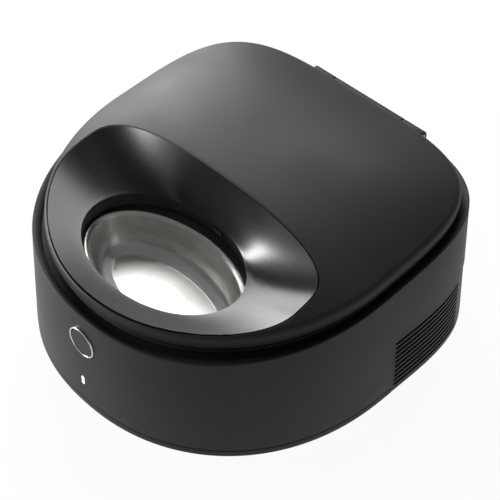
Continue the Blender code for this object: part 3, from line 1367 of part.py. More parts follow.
def magnets():
    """Magnets in the deck, each with its partner under the lid. Returns the lid's."""
    lid_magnets = []
    deck_top = deck_magnet_top()
    lid_top = deck_top + SKIRT_LIFT - GAP
    for name, side in (("left", -1), ("right", 1)):
        x = side * MAGNET_X
        upright_cylinder("deck_magnet_" + name, x, MAGNET_Y, deck_top - DECK_MAGNET_HEIGHT, deck_top,
                         MAGNET_RADIUS, 16, "steel")
        lid_magnets.append(upright_cylinder("lid_magnet_" + name, x, MAGNET_Y, lid_top - LID_MAGNET_HEIGHT,
                                            lid_top, MAGNET_RADIUS, 16, "steel"))
    return lid_magnets


def along_hinge(name, left, right, radius, finish=None, segments=16):
    return cylinder(name, (left, HINGE_Y, HINGE_Z), (right, HINGE_Y, HINGE_Z), radius, finish, segments)


def hinge_bracket():
    low = NOTCH_FLOOR + GAP
    high = low + HINGE_PLATE
    bracket = box("hinge_bracket", (-HINGE_HALF_LENGTH, HINGE_PLATE_FRONT_Y, low),
                  (HINGE_HALF_LENGTH, HINGE_Y + HINGE_WEB, high), "charcoal_plastic")
    for name, side in (("left", -1), ("right", 1)):
        ends = sorted((side * (HINGE_SPLIT + GAP * 2), side * HINGE_HALF_LENGTH))
        web = box("hinge_web_" + name, (ends[0], HINGE_Y - HINGE_WEB, high - GAP),
                  (ends[1], HINGE_Y + HINGE_WEB, HINGE_Z))
        join(bracket, web, along_hinge("hinge_knuckle_" + name, ends[0], ends[1], KNUCKLE_RADIUS))
        x = side * HINGE_SCREW_X
        cut(bracket, upright_cylinder("hinge_hole_" + name, x, HINGE_SCREW_Y, low - OVERRUN, high + OVERRUN,
                                      SCREW_HOLE, 12))
        cut(bracket, upright_cylinder("hinge_recess_" + name, x, HINGE_SCREW_Y, high - SCREW_HEAD_HEIGHT / 2,
                                      high + OVERRUN, SCREW_HEAD_RADIUS + GAP, 16))
    reach_out = HINGE_HALF_LENGTH + OVERRUN
    cut(bracket, along_hinge("bracket_bore", -reach_out, reach_out, PIN_RADIUS + GAP))
    return bracket


def hinge_screws():
    high = NOTCH_FLOOR + GAP + HINGE_PLATE
    top = high + SCREW_HEAD_HEIGHT / 2
    for name, side in (("left", -1), ("right", 1)):
        profile = screw_profile(top, SCREW_HEAD_HEIGHT - GAP, SCREW_HEAD_RADIUS,
                                NOTCH_FLOOR - LEDGE_HEIGHT + GAP * 2)
        turned("hinge_screw_" + name, profile, "steel", segments=10,
               place=(side * HINGE_SCREW_X, HINGE_SCREW_Y, 0))


def lid_hinge_arm():
    arm = along_hinge("lid_hinge_arm", -HINGE_SPLIT, HINGE_SPLIT, KNUCKLE_RADIUS, "charcoal_plastic")
    top = HINGE_Z + KNUCKLE_RADIUS - GAP
    join(arm, box("hinge_arm_plate", (-ARM_HALF_LENGTH, ARM_FRONT_Y, top - ARM_THICKNESS),
                  (ARM_HALF_LENGTH, HINGE_Y, top)))
    reach_out = HINGE_SPLIT + OVERRUN
    cut(arm, along_hinge("arm_bore", -reach_out, reach_out, PIN_RADIUS + GAP))
    return arm


def button_ring():
    """The bright ring round the button, turned about the button's axis."""
    face = body_front(BUTTON_Z) - RING_PROUD
    bevel = RING_PROUD / 2
    profile = [(RING_INNER, 0), (RING_OUTER - bevel, 0), (RING_OUTER, -bevel), (RING_OUTER, -RING_DEPTH),
               (RING_INNER, -RING_DEPTH)]
    bezel = turned("button_ring", profile, "chrome", segments=32, place=(0, face, BUTTON_Z), closed=True)
    bezel.rotation_euler = (math.pi / 2, 0, 0)


def button_cap():
    """The button's cap, with a flange behind the ring that keeps it in."""
    face = body_front(BUTTON_Z) - CAP_PROUD
    ring_back = RING_DEPTH - RING_PROUD + CAP_PROUD
    depth = ring_back + GAP
    radius = RING_INNER - GAP
    bevel = CAP_FLANGE_THICKNESS / 4
    profile = [(0, 0), (radius - bevel, 0), (radius, -bevel), (radius, -depth), (CAP_FLANGE, -depth),
               (CAP_FLANGE, -depth - CAP_FLANGE_THICKNESS), (0, -depth - CAP_FLANGE_THICKNESS)]
    cap = turned("button_cap", profile, "charcoal_plastic", segments=32, place=(0, face, BUTTON_Z))
    cap.rotation_euler = (math.pi / 2, 0, 0)
    return cap


def front_board_set():
    """The board behind the front wall, its switch and the light window."""
    box("front_board", (-FRONT_BOARD_HALF_WIDTH, FRONT_BOARD_Y, FRONT_BOARD_BOTTOM),
        (FRONT_BOARD_HALF_WIDTH, FRONT_BOARD_Y + BOARD_THICKNESS, FRONT_BOARD_TOP), "circuit_board")
    back = FRONT_BOARD_Y - GAP
    front = back - SWITCH_BODY
    half = SWITCH_SIDE / 2
    switch = box("button_switch", (-half, front, BUTTON_Z - half), (half, back, BUTTON_Z + half),
                 "black_plastic")
    cap_back = body_front(BUTTON_Z) + RING_DEPTH - RING_PROUD + GAP + CAP_FLANGE_THICKNESS
    tip = cap_back + BUTTON_TRAVEL + GAP
    join(switch, cylinder("switch_plunger", (0, tip, BUTTON_Z), (0, front + GAP, BUTTON_Z), SWITCH_PLUNGER,
                          segments=16))
    half, height = LIGHT_WIDTH / 2, LIGHT_HEIGHT / 2
    box("light_window", (-half, body_front(LIGHT_Z) - LIGHT_PROUD, LIGHT_Z - height),
        (half, back, LIGHT_Z + height), "light_window")


def main_board():
    """The control board with its capacitor, coil, chips and plug sockets."""
    low, high = MAIN_BOARD_BOTTOM, MAIN_BOARD_BOTTOM + BOARD_THICKNESS
    half_x, half_y = MAIN_BOARD_LENGTH / 2, MAIN_BOARD_WIDTH / 2
    board = box("main_board", (MAIN_BOARD_X - half_x, MAIN_BOARD_Y - half_y, low),
                (MAIN_BOARD_X + half_x, MAIN_BOARD_Y + half_y, high), "circuit_board")
    bits = bmesh.new()
    for x, y, dx, dy, rise in BOARD_BLOCK_SHARES:
        place = (MAIN_BOARD_X + x * half_x, MAIN_BOARD_Y + y * half_y)
        add_box(bits, (place[0] - dx * half_x, place[1] - dy * half_y, high - GAP),
                (place[0] + dx * half_x, place[1] + dy * half_y, high + rise * BOARD_THICKNESS))
    x, y = MAIN_BOARD_X + half_x * CAPACITOR_SHARES[0], MAIN_BOARD_Y + half_y * CAPACITOR_SHARES[1]
    add_cylinder(bits, (x, y, high - GAP), (x, y, high + CAPACITOR_HEIGHT), CAPACITOR_RADIUS, 16)
    join(board, from_bmesh("board_parts", bits))


def dc_socket():
    half = JACK_BODY_HALF
    socket = box("dc_socket", (JACK_X - half, JACK_BODY_FRONT_Y, JACK_Z - half),
                 (JACK_X + half, JACK_BODY_REAR_Y, JACK_Z + half), "black_plastic")
    join(socket, cylinder("socket_barrel", (JACK_X, JACK_BODY_REAR_Y - GAP, JACK_Z),
                          (JACK_X, JACK_BARREL_END_Y, JACK_Z), JACK_BARREL))
    start = JACK_BARREL_END_Y - JACK_BORE_DEPTH
    bore = cylinder("socket_bore", (JACK_X, start, JACK_Z), (JACK_X, JACK_BARREL_END_Y + OVERRUN, JACK_Z),
                    JACK_BORE, segments=20)
    cut(socket, bore)
    join(socket, cylinder("socket_pin", (JACK_X, start - GAP, JACK_Z),
                          (JACK_X, JACK_BARREL_END_Y - GAP, JACK_Z), JACK_PIN, segments=12))


def sensors():
    low = LINER_FLOOR_TOP + GAP
    upright_cylinder("temperature_sensor", SENSOR_X, AXIS_Y, low, low + SENSOR_HEIGHT, SENSOR_RADIUS, 16,
                     "steel")
    left, right = LIP_SENSOR_X - LIP_SENSOR_WIDTH / 2, LIP_SENSOR_X + LIP_SENSOR_WIDTH / 2
    width = HOLE_HALF_WIDTH + COLLAR_RELIEF
    rear = HOLE_Y + width * math.sqrt(1 - (right / HOLE_HALF_LENGTH) ** 2) - GAP
    return box("serving_sensor", (left, rear - LIP_SENSOR_THICKNESS, LIP_SENSOR_BOTTOM),
               (right, rear, LIP_SENSOR_TOP), "sensor_window")


def carry(name, place, items):
    """Hangs pieces that move together on an empty that stands on their joint's axis."""
    axis = bpy.data.objects.new(name, None)
    axis.location = place
    PARTS.objects.link(axis)
    for item in items:
        item.parent = axis
        item.matrix_parent_inverse = Matrix.Translation(-Vector(place))


def build():
    outer_shell_parts()
    moving_parts()


def outer_shell_parts():
    outer_shell()
    shell = bpy.data.objects["outer_shell"]
    cut(shell, vent_pocket("shell_pocket_left", -1), vent_pocket("shell_pocket_right", 1))
    bottom_cover()
    feet()
    base_screws()
    vent_grille("vent_grille_left", -1)
    vent_grille("vent_grille_right", 1)
    top_deck()
    chamber_liner()
    chamber_insulation()
    cooler()
    fan_frame()
    fan_screws()
    gear_motor()
    motor_bracket()
    hinge_bracket()
    hinge_screws()
    along_hinge("hinge_pin", -HINGE_HALF_LENGTH, HINGE_HALF_LENGTH, PIN_RADIUS, "steel", 16)
    button_ring()
    front_board_set()
    main_board()
    dc_socket()


def moving_parts():
    lid = [lid_shell(), scoop_insert(), serving_seal(), lid_liner(), lid_insulation(), lid_gasket(),
           lid_hinge_arm(), sensors()] + magnets()
    carry("lid_axis", (0, HINGE_Y, HINGE_Z), lid)
    turning = [spindle(), drive_gear(), turntable(), food_tray(), tray_lift_knob()] + bowls()
    carry("tray_axis", (0, AXIS_Y, 0), turning)
    carry("pinion_axis", (*motor_place(), 0), [drive_pinion()])
    carry("fan_axis", (0, COOLER_Y, 0), [fan_rotor()])
    carry("button_axis", (0, body_front(BUTTON_Z), BUTTON_Z), [button_cap()])


build()
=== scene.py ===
import math
from collections import namedtuple

import bmesh
import bpy
from mathutils import Matrix, Vector


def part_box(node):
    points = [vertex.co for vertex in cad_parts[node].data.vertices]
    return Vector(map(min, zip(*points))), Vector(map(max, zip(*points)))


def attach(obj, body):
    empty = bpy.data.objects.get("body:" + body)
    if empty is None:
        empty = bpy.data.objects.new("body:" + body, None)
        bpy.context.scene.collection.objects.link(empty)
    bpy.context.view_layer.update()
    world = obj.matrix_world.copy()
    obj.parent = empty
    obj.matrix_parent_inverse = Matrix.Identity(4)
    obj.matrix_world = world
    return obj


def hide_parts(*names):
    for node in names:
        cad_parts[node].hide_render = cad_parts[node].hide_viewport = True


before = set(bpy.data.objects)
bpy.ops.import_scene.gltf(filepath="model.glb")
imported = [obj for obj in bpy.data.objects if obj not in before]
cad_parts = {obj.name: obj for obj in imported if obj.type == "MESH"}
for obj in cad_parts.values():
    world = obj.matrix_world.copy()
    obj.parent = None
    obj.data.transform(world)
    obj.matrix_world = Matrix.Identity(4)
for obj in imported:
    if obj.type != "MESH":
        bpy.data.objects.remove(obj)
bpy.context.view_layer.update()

# Outlines in plan: a superellipse with its own depth and power in front and behind
Outline = namedtuple("Outline", "half_width front front_power rear rear_power")
AXIS_Y = 0.0075
BODY = Outline(0.145, 0.153, 2.178, 0.138, 3.88)
LID = Outline(0.140, 0.1453, 2.03, 0.1288, 4.01)
PLUG = Outline(0.116, 0.130, 2.0, 0.116, 2.0)
REAR_FACE = AXIS_Y + BODY.rear
GAP = 0.0003
OVER = 0.004
PLAN_POINTS = 256
SIDES = {"left": -1, "right": 1}

# Radius at which a turned piece starts on its axis
PINHOLE = 0.0002

# Largest share of an edge that the round of a corner may take
ROUND_LIMIT = 0.45

# Outer shell and bottom cover
WALL = 0.003
DRAFT = 0.005
RIM_LEVEL = 0.106
RIM_SLOPE = 0.0928
RIM_ROUND = 0.0008
LIP_WIDTH = 0.006
LIP_FALL = 0.0024
LIP_POWER = 1.6
LIP_DEPTH = 0.0035
LIP_CHAMFER = 0.002
FOOT_LIFT = 0.002
FLOOR_TOP = 0.005
COVER_CHAMFER = 0.0012
BAND_TOP = 0.0082
SHELL_BOTTOM = 0.0088
TONGUE_INSET = -0.0015
TONGUE_WIDTH = 0.002
TONGUE_RISE = 0.0038
SCREW_HOLE = 0.0018
SCREW_HEAD = 0.003
SCREW_RECESS = 0.002
SCREW_SHANK = 0.0015
SCREW_END = 0.025
SCREW_HEAD_DEPTH = 0.0015
SCREW_ROUNDS = (0, 0.0004, 0, 0.0002, 0.0006, 0)
CROSS_LENGTH = 0.0032
CROSS_WIDTH = 0.0006
CROSS_DEPTH = 0.0006
PILOT_TOP = 0.0253
BOSS_RADIUS = 0.005
BOSS_HEIGHT = 0.022
BOSS_INSET = 0.002
BOSS_ANGLES = {"side": -9.0, "rear": 56.5}
FEET = {"front_left": (-0.095, -0.075), "front_right": (0.095, -0.075),
        "rear_left": (-0.098, 0.1085), "rear_right": (0.098, 0.1085)}
FOOT_RADIUS = 0.008
FOOT_POCKET = 0.0016
FOOT_RING = 0.005
FOOT_DISH = 0.0003
FOOT_DISH_RADIUS = 0.0045
FOOT_ROUNDS = (0, 0.0002, 0.0009, 0.0002, 0, 0)
SHELL_ROUND = 0.0003
COVER_ROUNDS = (0, COVER_CHAMFER, 0.0003, 0, 0, 0, 0)
COVER_MIDDLE = 0.012
COOLER_Y = 0.086
INTAKE_COUNT = 8
INTAKE_LENGTH = 0.044
INTAKE_WIDTH = 0.003
INTAKE_PITCH = 0.0055

# Posts on the bottom cover
SPINDLE_BOSS_RADIUS = 0.008
SPINDLE_BOSS_TOP = 0.022
SPINDLE_BORE = 0.0043
SPINDLE_BORE_BOTTOM = 0.0139
MOTOR_POST_OUT = 0.0225
MOTOR_POST_RADIUS = 0.0035
MOTOR_POST_TOP = 0.0237
BOARD_POST_RADIUS = 0.0025
BOARD_POST_INSET = 0.005
BOARD_RIB_LENGTH = 0.020
BOARD_RIB_HEIGHT = 0.008
BOARD_RIB_THICKNESS = 0.002
BOARD_RIB_CLEARANCE = 0.0004
JACK_POST_HALF = 0.006

# Vent grilles
VENT_FRONT_Y = 0.0187
VENT_INNER_X = 0.108
VENT_TOP = 0.061
VENT_CORNER = 0.010
VENT_RECESS = 0.0005
VENT_BOTTOM = 0.0026
SLOT_COUNT = 10
SLOT_HEIGHT = 0.0027
SLOT_PITCH = 0.0048
SLOT_LOWEST = 0.0078
SLOT_FRONT_Y = VENT_FRONT_Y + 0.003
SLOT_REAR_Y = 0.1005
SLOT_INNER_X = 0.121

# Deck, chamber liner, tray, bowls
DECK_LEVEL = 0.1026
DECK_THICKNESS = 0.003
DECK_OPENING = 0.1233
DECK_ROUNDS = (0, 0.0002, 0.0008, 0.0003)
LINER_RADIUS = 0.127
LINER_WALL = 0.0025
LINER_BOTTOM = 0.046
LINER_FLOOR = 0.0485
LINER_CORNER = 0.003
LINER_ROUNDS = (0, LINER_CORNER, 0.0003, 0.0008, LINER_CORNER, 0)
LINER_MIDDLE = 0.020
COLD_PLATE = (0.080, 0.056)
BEARING_RADIUS = 0.007
BEARING_FLANGE = 0.0014
TURNTABLE_RADIUS = 0.050
TURNTABLE_THICKNESS = 0.003
TURNTABLE_ROUNDS = (0, 0.0006, 0.0008, 0)
HUB_RADIUS = 0.011
HUB_TOP = 0.066
HUB_BORE_TOP = 0.0603
HUB_SIDES = 6
TRAY_RADIUS = 0.1225
TRAY_TOP = 0.0848
TRAY_THICKNESS = 0.0025
TRAY_SKIRT_BOTTOM = 0.0746
TRAY_SKIRT_WALL = 0.002
TRAY_COLUMN = 0.015
TRAY_RIB = 0.002
TRAY_PLACES = 3
TRAY_ROUNDS = (0, 0.0012, 0.0008, 0.0008, 0.001, 0.002, 0.0005, 0)
BLANK_PLACE = 2
BLANK_BELOW_SEAL = 0.001
BLANK_ROUND = 0.0012
BLANK_MIDDLE = 0.5
BOWL_LENGTH = 0.0738675
BOWL_WIDTH = 0.0442225
BOWL_CIRCLE = 0.0763775
BOWL_POINTS = 160
BOWL_SHEET = 0.001
BOWL_FLANGE = 0.0032
BOWL_RIM_TOP = 0.0868
BOWL_DEPTH = 0.031
BOWL_ROUNDS = (0, 0.004, 0.009, 0.020, 0.002, 0.001, 0.002, 0.0006, 0.0003, 0.0003,
               0.003, 0.021, 0.010, 0.004, 0)
BOWL_CREST = (0.75, 0.4)
BOWL_WALL_START = 0.25
BOWL_MIDDLE = 0.8
BOWL_FLOOR_DROP = 0.6
SPUN_STEEL = ((0.74, 0.73, 0.71), 0.38)
BOWL_WALL_SHARES = ((0.06, 0.08), (0.115, 0.60), (0.20, 0.88), (0.42, 1.0))
BLANK_MARGIN = 0.001
KNOB_RADIUS = 0.011
KNOB_WAIST = 0.0075
KNOB_HEIGHT = 0.005
KNOB_DISH = 0.0004
KNOB_DISH_SHARES = (0.55, 0.7)
KNOB_EDGE = 0.0026
KNOB_THROAT = 0.0038
KNOB_ROUNDS = (0, 0.002, 0.001, 0.0011, 0.0006, 0.0006, PINHOLE, 0)

# Lid
LID_SLOPE = 0.0944
LID_LOW = 0.1111
LID_EDGE = 0.0095
LID_DOME = 0.02387
LID_DOME_POWER = 2.3
LID_WALL = 0.0025
LID_EDGE_ROUND = 0.0036
LID_LIP = 0.0008
LID_UNDER_SHARES = (0.9, 0.6, 0.3, 0)
MOUTH = 0.0006
FLAT_STEPS = 44
EDGE_STEPS = 10

# Serving hole, scoop and collar
HOLE_Y = AXIS_Y - BOWL_CIRCLE
HOLE_LENGTH = 0.0709675
HOLE_WIDTH = 0.0474225
HOLE_LEVEL = 0.103
SCOOP = Outline(0.1178675, 0.0862225, 1.707, 0.0407225, 4.35)
SCOOP_Y = -0.0537775
SEARCH_LIMIT = 0.45
SEARCH_STEPS = 36
EDGE_TRIES = 1440
EDGE_WEIGHTS = (0.9, 0.65, 0.6)
SCOOP_LID_MARGIN = 0.0015
SCOOP_CORNER = 0.0015
SCOOP_GAP = 0.0007
SCOOP_CURVE_POWER = 1.12
SCOOP_SHEET = 0.002
SCOOP_EDGE = 0.0045
SCOOP_EDGE_ROUND = 0.0007
SCOOP_STEPS = 48
SCOOP_STEP_POWER = 1.15
SCOOP_UNDER_SHARES = (0.8, 0.65, 0.45, 0.25, 0.1)
COLLAR_LIP = 0.0042
COLLAR_RELIEF = 0.0012
COLLAR_OUTER = 0.0032
COLLAR_BOTTOM = 0.0924424
COLLAR_ROUNDS = (0.0006, 0.0004, 0, 0.0003, 0.0003)
DECK_RELIEF = 0.0055
SEAL_WIDTH = 0.003
SEAL_BOTTOM = 0.0904424
SEAL_ROUNDS = (0.0005, 0.0002, 0.0002, 0.0005)

# Lid liner, gasket and magnets
PLUG_BOTTOM = 0.0948424
PAN_SHEET = 0.0014
PAN_CLEAR = 0.0004
PAN_MIDDLE = 0.05
PAN_ROUNDS = (0, 0.002, 0.001, 0.0003, 0.0004, 0, 0, 0, 0.0005, 0.001, 0)
SKIRT_WIDTH = 0.0041
SKIRT_TOP_WIDTH = 0.0021
SKIRT_LIFT = 0.0034
SKIRT_ENTRY = 0.0015
PLUG_FLARE = 0.0015
GASKET_INSET = 0.0029
GASKET_WIDTH = 0.0023
GASKET_ROUNDS = (0.0008, 0.0003, 0.0003, 0.0008)
MAGNET_RADIUS = 0.004
MAGNET_X = 0.045
MAGNET_Y = -0.1185
DECK_MAGNET_HEIGHT = 0.0016

# Hinge
HINGE_Y = 0.1458
HINGE_Z = 0.1190024
HINGE_HALF_LENGTH = 0.0575
HINGE_SPLIT = 0.0355
KNUCKLE_RADIUS = 0.0042
KNUCKLE_END = 0.0009
BARREL_END = 0.0006
PIN_RADIUS = 0.0016
NOTCH_FLOOR = 0.1100024
NOTCH_FRONT_Y = 0.1372
LEDGE_FRONT_Y = 0.1378
LEDGE_HEIGHT = 0.008
HINGE_PLATE = 0.003
HINGE_PLATE_ROUND = 0.0004
ARM_ROUND = 0.0003
HINGE_PLATE_FRONT_Y = 0.1376
HINGE_PLATE_REAR_Y = 0.150
HINGE_SCREW_X = 0.020
HINGE_SCREW_Y = 0.1415
HINGE_SCREW_SINK = 0.00075
ARM_FRONT_Y = 0.1337
ARM_THICKNESS = 0.0034
ARM_HALF_LENGTH = 0.034

# Button, light, power socket
BUTTON_Z = 0.0664
RING_OUTER = 0.013
RING_INNER = 0.0116
RING_PROUD = 0.0007
RING_DEPTH = 0.0058
CAP_PROUD = 0.0001
CAP_FLANGE = 0.0125
CAP_FLANGE_THICKNESS = 0.0012
CAP_DISH_RADIUS = 0.004
CAP_DISH = 0.0002
CAP_ROUNDS = (0, 0.0005, 0, 0.0002, 0.0002, 0)
LIGHT_Z = 0.0273
LIGHT_WIDTH = 0.003
LIGHT_HEIGHT = 0.008
LIGHT_CORNER = 0.0012
LIGHT_PROUD = 0.0003
LIGHT_ROUND = 0.0003
JACK_X = -0.060
JACK_Z = 0.021
JACK_HALF = 0.007
JACK_ROUND = 0.0005
JACK_FRONT_Y = 0.130
JACK_REAR_Y = 0.1442
JACK_BARREL = 0.0045
JACK_END_Y = 0.1481
JACK_BORE = 0.0028
JACK_BORE_DEPTH = 0.009
JACK_PIN = 0.001

# Camera: turn from the front towards the right, rise, distance and aim, and the lens
CAMERA_TURN = math.radians(46.255)
CAMERA_RISE = math.radians(45.039)
CAMERA_DISTANCE = 1.03315
CAMERA_AIM = Vector((0.00325, 0.00365, 0.05843))
CAMERA_LENS = 97.69
CAMERA_SHIFT = (0.0216, -0.0034)

# Softboxes: place, width and height, watts
SOFTBOXES = {
    "rear_left_softbox": ((-0.68, 0.72, 1.19), (1.0, 0.8), 16),
    "left_softbox": ((-1.30, 0.56, 0.58), (0.8, 0.7), 21),
    "front_left_softbox": ((-1.28, -0.80, 0.22), (0.9, 0.36), 36),
    "right_fill": ((1.4, -0.1, 0.5), (0.7, 0.7), 1),
}
LIGHT_AIM = Vector((0, 0, 0.08))
FLOOR_GLOW_SHARE = 0.95
FLOOR_HALF = 30.0

# World brightness at two heights, and the spans of noise that change tone and roughness
WORLD_LEVELS = ((0.12, 0.55), (0.35, 0.16))
TONE_RANGE = (0.35, 0.65)
ROUGH_RANGE = (0.3, 0.7)


def add_object(name, data):
    item = bpy.data.objects.new(name, data)
    bpy.context.scene.collection.objects.link(item)
    return item


def make_camera():
    data = bpy.data.cameras.new("camera")
    data.lens = CAMERA_LENS
    data.sensor_width = 36
    data.shift_x, data.shift_y = CAMERA_SHIFT
    data.clip_end = 100
    item = add_object("camera", data)
    flat = math.cos(CAMERA_RISE)
    away = Vector((math.sin(CAMERA_TURN) * flat, -math.cos(CAMERA_TURN) * flat, math.sin(CAMERA_RISE)))
    item.location = CAMERA_AIM + away * CAMERA_DISTANCE
    item.rotation_euler = away.to_track_quat("Z", "Y").to_euler()
    bpy.context.scene.camera = item


def make_lights():
    for name, (place, size, power) in SOFTBOXES.items():
        data = bpy.data.lights.new(name, "AREA")
        data.shape = "RECTANGLE"
        data.size, data.size_y = size
        data.energy = power
        item = add_object(name, data)
        item.location = place
        item.rotation_euler = (Vector(place) - LIGHT_AIM).to_track_quat("Z", "Y").to_euler()


def make_world():
    """A pale studio: light near the horizon, dimmer above."""
    world = bpy.data.worlds.new("studio")
    bpy.context.scene.world = world
    world.use_nodes = True
    nodes, links = world.node_tree.nodes, world.node_tree.links
    coordinate = nodes.new("ShaderNodeTexCoord")
    split = nodes.new("ShaderNodeSeparateXYZ")
    ramp = nodes.new("ShaderNodeValToRGB")
    for element, (height, level) in zip(ramp.color_ramp.elements, WORLD_LEVELS):
        element.position = height
        element.color = (level, level, level, 1)
    links.new(coordinate.outputs["Generated"], split.inputs[0])
    links.new(split.outputs["Z"], ramp.inputs[0])
    links.new(ramp.outputs[0], nodes["Background"].inputs["Color"])


def make_floor():
    """A white floor to the camera and in reflections, under a faint shadow."""
    mesh = bpy.data.meshes.new("floor")
    half = FLOOR_HALF
    mesh.from_pydata([(-half, -half, 0), (half, -half, 0), (half, half, 0), (-half, half, 0)], [],
                     [(0, 1, 2, 3)])
    surface = Surface("floor")
    surface.tune("Roughness", 0.9)
    surface.tune("Base Color", (0.93, 0.93, 0.93, 1))
    path = surface.add("LightPath")
    seen = path.outputs["Is Camera Ray"]
    for ray in ("Is Glossy Ray", "Is Transmission Ray"):
        either = surface.link(seen, surface.add("Math"), 0)
        either.operation = "MAXIMUM"
        seen = surface.link(path.outputs[ray], either, 1).outputs[0]
    share = surface.link(seen, surface.add("Math"), 0)
    share.operation = "MULTIPLY"
    share.inputs[1].default_value = FLOOR_GLOW_SHARE
    mix = surface.link(share.outputs[0], surface.add("MixShader"), "Fac")
    surface.link(surface.shader.outputs[0], mix, 1)
    surface.link(surface.add("Emission").outputs[0], mix, 2)
    surface.link(mix.outputs[0], surface.nodes["Material Output"], "Surface")
    mesh.materials.append(surface.made)
    add_object("floor", mesh)


# Materials

class Surface:
    """A material and its nodes, laid out by the object's own coordinates."""

    def __init__(self, name):
        self.made = bpy.data.materials.new(name)
        self.made.use_nodes = True
        self.nodes = self.made.node_tree.nodes
        self.shader = self.nodes["Principled BSDF"]
        self.place = self.nodes.new("ShaderNodeTexCoord").outputs["Object"]

    def tune(self, name, value):
        self.shader.inputs[name].default_value = value

    def add(self, kind, **values):
        """A node of a kind, with some inputs set: From_Min stands for From Min."""
        made = self.nodes.new("ShaderNode" + kind)
        for name, value in values.items():
            made.inputs[name.replace("_", " ")].default_value = value
        return made

    def link(self, output, item, name):
        self.made.node_tree.links.new(output, item.inputs[name])
        return item

    def vector(self, operation, value, other=(0, 0, 0)):
        made = self.link(value, self.add("VectorMath"), 0)
        made.operation = operation
        made.inputs[1].default_value = other
        return made

    def noise(self, scale, detail=2.0, rough=0.5):
        made = self.add("TexNoise", Scale=scale, Detail=detail, Roughness=rough)
        return self.link(self.place, made, "Vector").outputs["Fac"]

    def blend(self, one, two, share):
        made = self.link(one, self.add("Mix", Factor=share), 2)
        return self.link(two, made, 3).outputs[0]

    def colour(self, value, dark, light):
        ramp = self.link(value, self.add("ValToRGB"), 0)
        for element, place, tone in zip(ramp.color_ramp.elements, TONE_RANGE, (dark, light)):
            element.position = place
            element.color = (*tone, 1)
        self.link(ramp.outputs[0], self.shader, "Base Color")

    def roughness(self, value, low, high):
        made = self.add("MapRange", From_Min=ROUGH_RANGE[0], From_Max=ROUGH_RANGE[1], To_Min=low, To_Max=high)
        self.link(self.link(value, made, "Value").outputs["Result"], self.shader, "Roughness")

    def bump(self, height, strength, distance):
        made = self.link(height, self.add("Bump", Strength=strength, Distance=distance), "Height")
        self.link(made.outputs["Normal"], self.shader, "Normal")


def shade(colour, share):
    return tuple(min(1.0, part * share) for part in colour)


def moulded(name, colour, roughness, grain=2600.0, depth=0.00002, vary=0.06, tone=0.10, level=0.5):
    """Moulded plastic: fine grain, with slow changes of tone and of roughness."""
    surface = Surface(name)
    slow = surface.noise(22.0, 3.0)
    fine = surface.noise(grain, 2.0, 0.6)
    surface.colour(slow, shade(colour, 1 - tone), shade(colour, 1 + tone))
    surface.roughness(surface.blend(slow, fine, 0.35), roughness - vary, roughness + vary)
    surface.tune("Specular IOR Level", level)
    surface.bump(fine, 0.35, depth)
    return surface.made


def brushed(name, colour, roughness, centre, turn, stretch, depth=0.00001):
    """Spun metal: fine oval rings about a centre, and a few broader ones."""
    surface = Surface(name)
    shifted = surface.vector("SUBTRACT", surface.place, centre).outputs[0]
    turned = surface.link(shifted, surface.add("VectorRotate", Angle=-turn), "Vector")
    turned.rotation_type = "Z_AXIS"
    squeezed = surface.vector("MULTIPLY", turned.outputs[0], (1 / stretch, 1, 0.9)).outputs[0]
    away = surface.vector("LENGTH", squeezed).outputs["Value"]
    lines = surface.add("TexNoise", Scale=2400, Detail=3)
    lines.noise_dimensions = "1D"
    rings = surface.link(away, lines, "W").outputs["Fac"]
    mixed = surface.blend(rings, surface.noise(60.0, 3.0), 0.4)
    surface.colour(mixed, shade(colour, 0.90), shade(colour, 1.06))
    surface.roughness(mixed, roughness - 0.06, roughness + 0.08)
    surface.tune("Metallic", 1.0)
    surface.bump(surface.blend(rings, surface.noise(1500.0), 0.3), 0.3, depth)
    return surface.made


def plain_metal(name, colour, roughness, grain=900.0, depth=0.00001):
    surface = Surface(name)
    fine = surface.noise(grain, 3.0)
    surface.colour(surface.noise(90.0, 3.0), shade(colour, 0.88), colour)
    surface.roughness(fine, roughness - 0.05, roughness + 0.07)
    surface.tune("Metallic", 1.0)
    surface.bump(fine, 0.25, depth)
    return surface.made


def foamed(name, colour):
    """Closed-cell foam: small cells and pores."""
    surface = Surface(name)
    cells = surface.link(surface.place, surface.add("TexVoronoi", Scale=700), "Vector")
    slow = surface.noise(40.0, 3.0)
    surface.colour(slow, shade(colour, 0.85), colour)
    surface.roughness(slow, 0.85, 0.98)
    surface.bump(cells.outputs["Distance"], 0.6, 0.0004)
    return surface.made


def board(name, colour, copper):
    """A printed circuit board: lacquer with faint straight tracks under it."""
    surface = Surface(name)
    tracks = surface.add("TexBrick", Scale=260, Mortar_Size=0.06, Color1=(*colour, 1),
                         Color2=(*shade(colour, 0.85), 1), Mortar=(*copper, 1))
    surface.link(surface.place, tracks, "Vector")
    surface.link(tracks.outputs["Color"], surface.shader, "Base Color")
    surface.roughness(surface.noise(120.0, 3.0), 0.25, 0.45)
    surface.bump(tracks.outputs["Fac"], 0.3, 0.00003)
    return surface.made


def lit_window(name):
    """A milky light window, lit from behind."""
    surface = Surface(name)
    slow = surface.noise(500.0)
    surface.colour(slow, (0.86, 0.87, 0.86), (0.95, 0.95, 0.94))
    surface.roughness(slow, 0.2, 0.35)
    surface.tune("Emission Color", (1, 1, 0.98, 1))
    surface.tune("Emission Strength", 0.45)
    surface.bump(slow, 0.1, 0.00002)
    return surface.made


